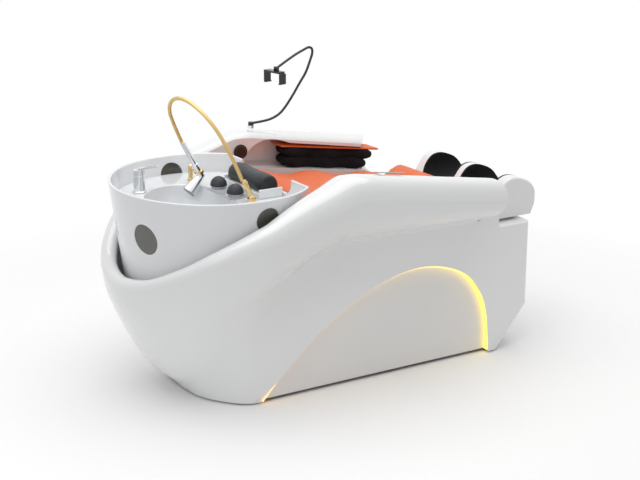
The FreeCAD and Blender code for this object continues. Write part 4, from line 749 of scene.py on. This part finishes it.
def foot_outline(inset, z):
    """The foot box's outline at a height, drawn in by an inset."""
    end = FOOT_END - inset - TOE_LENGTH * max(0.0, 1 - (z - FLOOR_GAP) / TOE_HEIGHT)
    half = SIDE_HALF - HAIR - inset
    points = [(FOOT_START + inset, -half)]
    for step in range(CORNER_STEPS + 1):
        turn = math.pi / 2 * step / CORNER_STEPS
        points.append((end - FOOT_ROUND + FOOT_ROUND * math.sin(turn),
                       -half + FOOT_ROUND - FOOT_ROUND * math.cos(turn)))
    points += [(x, -y) for x, y in reversed(points)]
    return [(x, y, z) for x, y in points]


def foot_box():
    """The low foot end: a hollow box, from its ceiling down inside and up again outside."""
    levels = [(WALL, LEDGE - WALL), (WALL, FLOOR_GAP), (0, FLOOR_GAP)]
    levels += [(0, FLOOR_GAP + TOE_HEIGHT * step / TOE_STEPS) for step in range(1, TOE_STEPS + 1)]
    levels.append((0, LEDGE - LEDGE_ROUND))
    for step in range(1, ROUND_STEPS + 1):
        turn = math.pi / 2 * step / ROUND_STEPS
        levels.append((LEDGE_ROUND * (1 - math.cos(turn)), LEDGE - LEDGE_ROUND * (1 - math.sin(turn))))
    rings = [foot_outline(inset, z) for inset, z in levels]
    points = [point for ring in rings for point in ring]
    return skin("foot_box", points, ring_faces(len(rings), len(rings[0])))


# %% [markdown]
# ## Cuts in the tub
# The side's light panel stands in an arch, and each arm has a long hollow in its inner face for
# the cushions. Both are taken away as plugs, and the cut skins are closed again.

# %% Plugs
ARCH = [(0.0, 0.0), (0.19, 0.47), (0.38, 0.79), (0.57, 0.97), (0.68, 1.0), (0.79, 0.95), (0.90, 0.80),
        (0.97, 0.53), (1.0, 0.0)]
ARCH_START, ARCH_END, ARCH_SILL, ARCH_TOP, ARCH_LOW = -0.452, 0.656, 0.014, 0.446, -0.02
ARCH_PLUG = (0.300, 0.500)
ARCH_STEPS, ROOF_STEPS = 10, 6
ROOF = [(-0.115, 0.780), (-0.104, 0.815), (-0.074, 0.846), (-0.025, 0.867), (0.040, 0.866), (0.115, 0.842)]
ROOF_END = (0.70, 0.744)
HOLLOW_PLUG = (0.385, 0.512)
HOLLOW_DROP, HOLLOW_ROUND, HOLLOW_SEGMENTS, NEAR = 0.159, 0.045, 6, 0.00001


def prism(name, outline, low_y, high_y):
    """A plug with an outline in the upright plane along the bed."""
    wide = len(outline)
    points = [(x, low_y, z) for x, z in outline] + [(x, high_y, z) for x, z in outline]
    faces = [tuple(range(wide)), tuple(range(2 * wide - 1, wide - 1, -1))]
    faces += [(k, k + wide, (k + 1) % wide + wide, (k + 1) % wide) for k in range(wide)]
    plug = skin(name, points, faces, smooth=False)
    with opened(plug.data) as form:
        bmesh.ops.recalc_face_normals(form, faces=form.faces)
    return plug


def cubic_line(corners, per_run):
    """The natural cubic line through corner points, which is how a bent batten would lie."""
    corners = np.array(corners)
    knots = np.concatenate([[0], np.cumsum(np.linalg.norm(np.diff(corners, axis=0), axis=1))])
    runs = np.diff(knots)
    count = len(knots)
    matrix = np.zeros((count, count))
    right = np.zeros((count, 2))
    matrix[0, 0] = matrix[-1, -1] = 1
    for i in range(1, count - 1):
        matrix[i, i - 1:i + 2] = runs[i - 1], 2 * (runs[i - 1] + runs[i]), runs[i]
        right[i] = 6 * ((corners[i + 1] - corners[i]) / runs[i] - (corners[i] - corners[i - 1]) / runs[i - 1])
    bend = np.linalg.solve(matrix, right)
    line = []
    for i, run in enumerate(runs):
        for step in range(per_run):
            t = run * step / per_run
            back = run - t
            line.append((bend[i] * back ** 3 + bend[i + 1] * t ** 3) / (6 * run)
                        + (corners[i] / run - bend[i] * run / 6) * back
                        + (corners[i + 1] / run - bend[i + 1] * run / 6) * t)
    return [tuple(point) for point in line + [corners[-1]]]


def arch_plug(side):
    """What a side's light panel takes away."""
    corners = [(mix(ARCH_START, ARCH_END, x), mix(ARCH_SILL, ARCH_TOP, z)) for x, z in ARCH]
    outline = cubic_line(corners, ARCH_STEPS) + [(ARCH_END, ARCH_LOW), (ARCH_START, ARCH_LOW)]
    return prism("arch_plug", outline, side * ARCH_PLUG[0], side * ARCH_PLUG[1])


def hollow_plug(side):
    """What an arm's hollow takes away, with rounded long edges at the back."""
    floor_z = [ARM_TOP - HOLLOW_DROP - ARM_SLOPE * (x - SLOPE_START) for x in (ROOF_END[0], ROOF[0][0])]
    outline = cubic_line(ROOF, ROOF_STEPS) + [ROOF_END, (ROOF_END[0], floor_z[0]), (ROOF[0][0], floor_z[1])]
    plug = prism("hollow_plug", outline, side * HOLLOW_PLUG[0], side * HOLLOW_PLUG[1])
    with opened(plug.data) as form:
        back = [edge for edge in form.edges
                if all(abs(abs(corner.co.y) - HOLLOW_PLUG[1]) < NEAR for corner in edge.verts)]
        bmesh.ops.bevel(form, geom=back, offset=HOLLOW_ROUND, segments=HOLLOW_SEGMENTS, profile=0.5,
                        affect="EDGES", clamp_overlap=True)
    return plug


def carve(piece, plug):
    """Take a plug away from a piece, and close the slits that the cut may leave."""
    cut = piece.modifiers.new("cut", "BOOLEAN")
    cut.operation = "DIFFERENCE"
    cut.solver = "EXACT"
    cut.object = plug
    baked(piece)
    bpy.data.objects.remove(plug)
    with opened(piece.data) as form:
        bmesh.ops.remove_doubles(form, verts=form.verts, dist=MERGE_GAP)
        bmesh.ops.holes_fill(form, edges=[edge for edge in form.edges if edge.is_boundary], sides=4)


# %% [markdown]
# ## The tub is put together
# The far arm gets a round seat for its control as well. Two low cheeks join the arms' ends to the
# foot end's box and hide the bolster's ends, as the ledge does on the real bed.

# %% Tub
CONTROL_X, CONTROL_Z, CONTROL_RADIUS, CONTROL_SIDES = -0.132, 0.832, 0.0318, 48
CONTROL_SEAT = (0.390, 0.4065)
CHEEK = [(0.590, 0.550), (0.690, 0.550), (0.690, 0.600), (0.640, 0.645), (0.590, 0.645)]
CHEEK_REACH = (0.3400, 0.3576)
tub = tub_wall()
foot = foot_box()
seat = []
for step in range(CONTROL_SIDES):
    turn = 2 * math.pi * step / CONTROL_SIDES
    seat.append((CONTROL_X + CONTROL_RADIUS * math.cos(turn), CONTROL_Z + CONTROL_RADIUS * math.sin(turn)))
carve(tub, prism("control_seat", seat, *CONTROL_SEAT))
for side in (-1, 1):
    carve(tub, hollow_plug(side))
    for piece in (tub, foot):
        carve(piece, arch_plug(side))
cheeks = [prism("cheek", CHEEK, side * CHEEK_REACH[0], side * CHEEK_REACH[1]) for side in (-1, 1)]
with opened(tub.data) as whole:
    for piece in [foot] + cheeks:
        whole.from_mesh(piece.data)
        bpy.data.objects.remove(piece)
tub.data.shade_smooth()
tub.data.set_sharp_from_angle(angle=SHARP_ANGLE)
paint(tub, "shell_white")
settle(tub, "bed", "shell_white", "body_shell")
print("tub of", len(tub.data.polygons), "faces")

# %% [markdown]
# ## The hose is finished
# The hose leaves the hand shower, stands over the basin in an arch and ends in its nut on the
# deck. When the hand shower slides out of its fork, the hose has to go along at that end. Here it
# gets its gold finish, the CAD hose is hidden, and the hose's place is baked into its mesh.

# %% Hose
paint(hose, "gold_hose")
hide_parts("shower_hose")
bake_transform(hose)

# %% [markdown]
# ## Cushions that are blown up as cloth
# A cushion starts as its CAD solid, a little drawn in, with an even skin of small squares. Cloth
# with air pressure inside then swells it for twenty frames, which rounds the ends and leaves the
# small puckers of a filled cover. No point may move further than a cap. The arm cushions are kept
# full and made shorter, the lower one more, so that their ends show one behind the other.

# %% Blow up a cushion
PRESSURE, LAST_FRAME, QUALITY, CLOTH_MASS, STRETCH, BENDING = 4.0, 20, 4, 0.3, 12, 0.4


def remeshed(piece, grain):
    """Give a piece an even skin."""
    even = piece.modifiers.new("even", "REMESH")
    even.mode = "VOXEL"
    even.voxel_size = grain
    return baked(piece)


def corner_array(mesh, kind="co"):
    """The places or the normals of a mesh's corners."""
    values = np.zeros(len(mesh.vertices) * 3, np.float32)
    mesh.vertices.foreach_get(kind, values)
    return values.reshape(-1, 3).astype(float)


def move_corners(piece, places):
    """Put a piece's corners at new places."""
    piece.data.vertices.foreach_set("co", places.astype(np.float32).ravel())
    piece.data.update()


def blow_up(piece, cap):
    """Swell a piece as cloth with air inside it, and keep the result."""
    start = corner_array(piece.data)
    cloth = piece.modifiers.new("cover", "CLOTH")
    cloth.settings.quality = QUALITY
    cloth.settings.mass = CLOTH_MASS
    cloth.settings.tension_stiffness = STRETCH
    cloth.settings.compression_stiffness = STRETCH
    cloth.settings.bending_stiffness = BENDING
    cloth.settings.use_pressure = True
    cloth.settings.uniform_pressure_force = PRESSURE
    cloth.settings.effector_weights.gravity = 0
    cloth.collision_settings.use_collision = False
    cloth.point_cache.frame_start = 1
    cloth.point_cache.frame_end = LAST_FRAME
    for number in range(1, LAST_FRAME + 1):
        scene.frame_set(number)
    view = bpy.context.evaluated_depsgraph_get()
    swollen = bpy.data.meshes.new_from_object(piece.evaluated_get(view))
    moved = corner_array(swollen) - start
    piece.modifiers.clear()
    bpy.data.meshes.remove(swollen)
    scene.frame_set(1)
    reach = np.linalg.norm(moved, axis=1, keepdims=True)
    move_corners(piece, start + moved * np.minimum(1, cap / np.maximum(reach, 1e-9)))


def cushion(node, grain, inset, cap, shorter=1.0):
    """A padded piece that stands for a soft node. Where it is shorter, it keeps the arm's slope."""
    piece = merged(node, node + "_padded", flatten=False)
    remeshed(piece, grain)
    drawn = corner_array(piece.data) - corner_array(piece.data, "normal") * inset
    moved = (drawn[:, 0].min() - drawn[:, 0]) * (1 - shorter)
    drawn[:, 0] += moved
    drawn[:, 2] -= moved * ARM_SLOPE
    move_corners(piece, drawn)
    blow_up(piece, cap)
    piece.data.shade_smooth()
    rounder = piece.modifiers.new("smooth", "SUBSURF")
    rounder.levels = rounder.render_levels = 1
    paint(piece, SLOT_OF[node])
    settle(piece, BODY_OF[node], SLOT_OF[node], node)
    return piece


# Grain of the skin, how far it is drawn in, cap of the swelling and share of the length
cushion("bed_pad", 0.010, 0.004, 0.008)
cushion("knee_bolster", 0.007, 0.004, 0.008)
cushion("neck_pillow", 0.005, 0.003, 0.006)
for side in ("near", "far"):
    cushion("arm_lining_" + side, 0.004, 0.0015, 0.002)
    for level, share in (("upper", 0.88), ("lower", 0.82)):
        cushion("arm_cushion_%s_%s" % (level, side), 0.006, -0.001, 0.012, share)
print("cushions made")

# %% [markdown]
# ## Floor, light and world
# The bed stands on a plain white floor that fades out into the white world round it, so that
# only the soft shadow under the bed is left to see. One wide lamp above, a weak one from the head
# end's left and a pale world light it. The camera and mirrors see the world as plain white.

# %% Studio
FLOOR_HALF = 4.0
FADE_START, FADE_LENGTH = 1.35, 1.1
floor = skin("studio_floor", [(-FLOOR_HALF, -FLOOR_HALF, 0), (FLOOR_HALF, -FLOOR_HALF, 0),
                              (FLOOR_HALF, FLOOR_HALF, 0), (-FLOOR_HALF, FLOOR_HALF, 0)], [(0, 1, 2, 3)])
floor_finish = Finish("studio_floor", (0.97, 0.97, 0.97), 0.9, Specular_IOR_Level=0.0)
reach = (floor_finish.axis("X") ** 2.0 + floor_finish.axis("Y") ** 2.0) ** 0.5
faded = ((reach - FADE_START) * (1 / FADE_LENGTH)).clipped()
floor_finish.feed(floor_finish.skin.inputs["Alpha"], 1.0 - faded)
floor.data.materials.append(floor_finish.material)


def lamp(name, place, target, span, power):
    """A square lamp that looks at a target."""
    light = bpy.data.lights.new(name, "AREA")
    light.shape = "SQUARE"
    light.size = span
    light.energy = power
    holder = bpy.data.objects.new(name, light)
    holder.location = place
    holder.rotation_mode = "QUATERNION"
    holder.rotation_quaternion = (Vector(target) - Vector(place)).to_track_quat("-Z", "Y")
    scene.collection.objects.link(holder)


# Place, target, span in metres and power in watts
lamp("lamp_above", (-0.2, 0.2, 5.5), (-0.2, 0.2, 0), 7.0, 250)
lamp("lamp_left", (-4.2, -2.2, 2.8), (0, 0, 0.5), 2.5, 22)

WORLD_LIGHT, WORLD_SEEN, WHITE = 0.45, 1.0, (1, 1, 1, 1)
world = bpy.data.worlds.new("studio")
scene.world = world
world.use_nodes = True
backdrop = world.node_tree.nodes["Background"]
rays = world.node_tree.nodes.new("ShaderNodeLightPath")
plain = world.node_tree.nodes.new("ShaderNodeBackground")
seen = world.node_tree.nodes.new("ShaderNodeMath")
seen.operation = "MAXIMUM"
choice = world.node_tree.nodes.new("ShaderNodeMixShader")
for shade, strength in ((backdrop, WORLD_LIGHT), (plain, WORLD_SEEN)):
    shade.inputs["Color"].default_value = WHITE
    shade.inputs["Strength"].default_value = strength
links = world.node_tree.links
links.new(rays.outputs["Is Camera Ray"], seen.inputs[0])
links.new(rays.outputs["Is Glossy Ray"], seen.inputs[1])
links.new(seen.outputs[0], choice.inputs["Fac"])
links.new(backdrop.outputs[0], choice.inputs[1])
links.new(plain.outputs[0], choice.inputs[2])
links.new(choice.outputs[0], world.node_tree.nodes["World Output"].inputs["Surface"])
scene.view_settings.view_transform = "Standard"
print("studio ready")
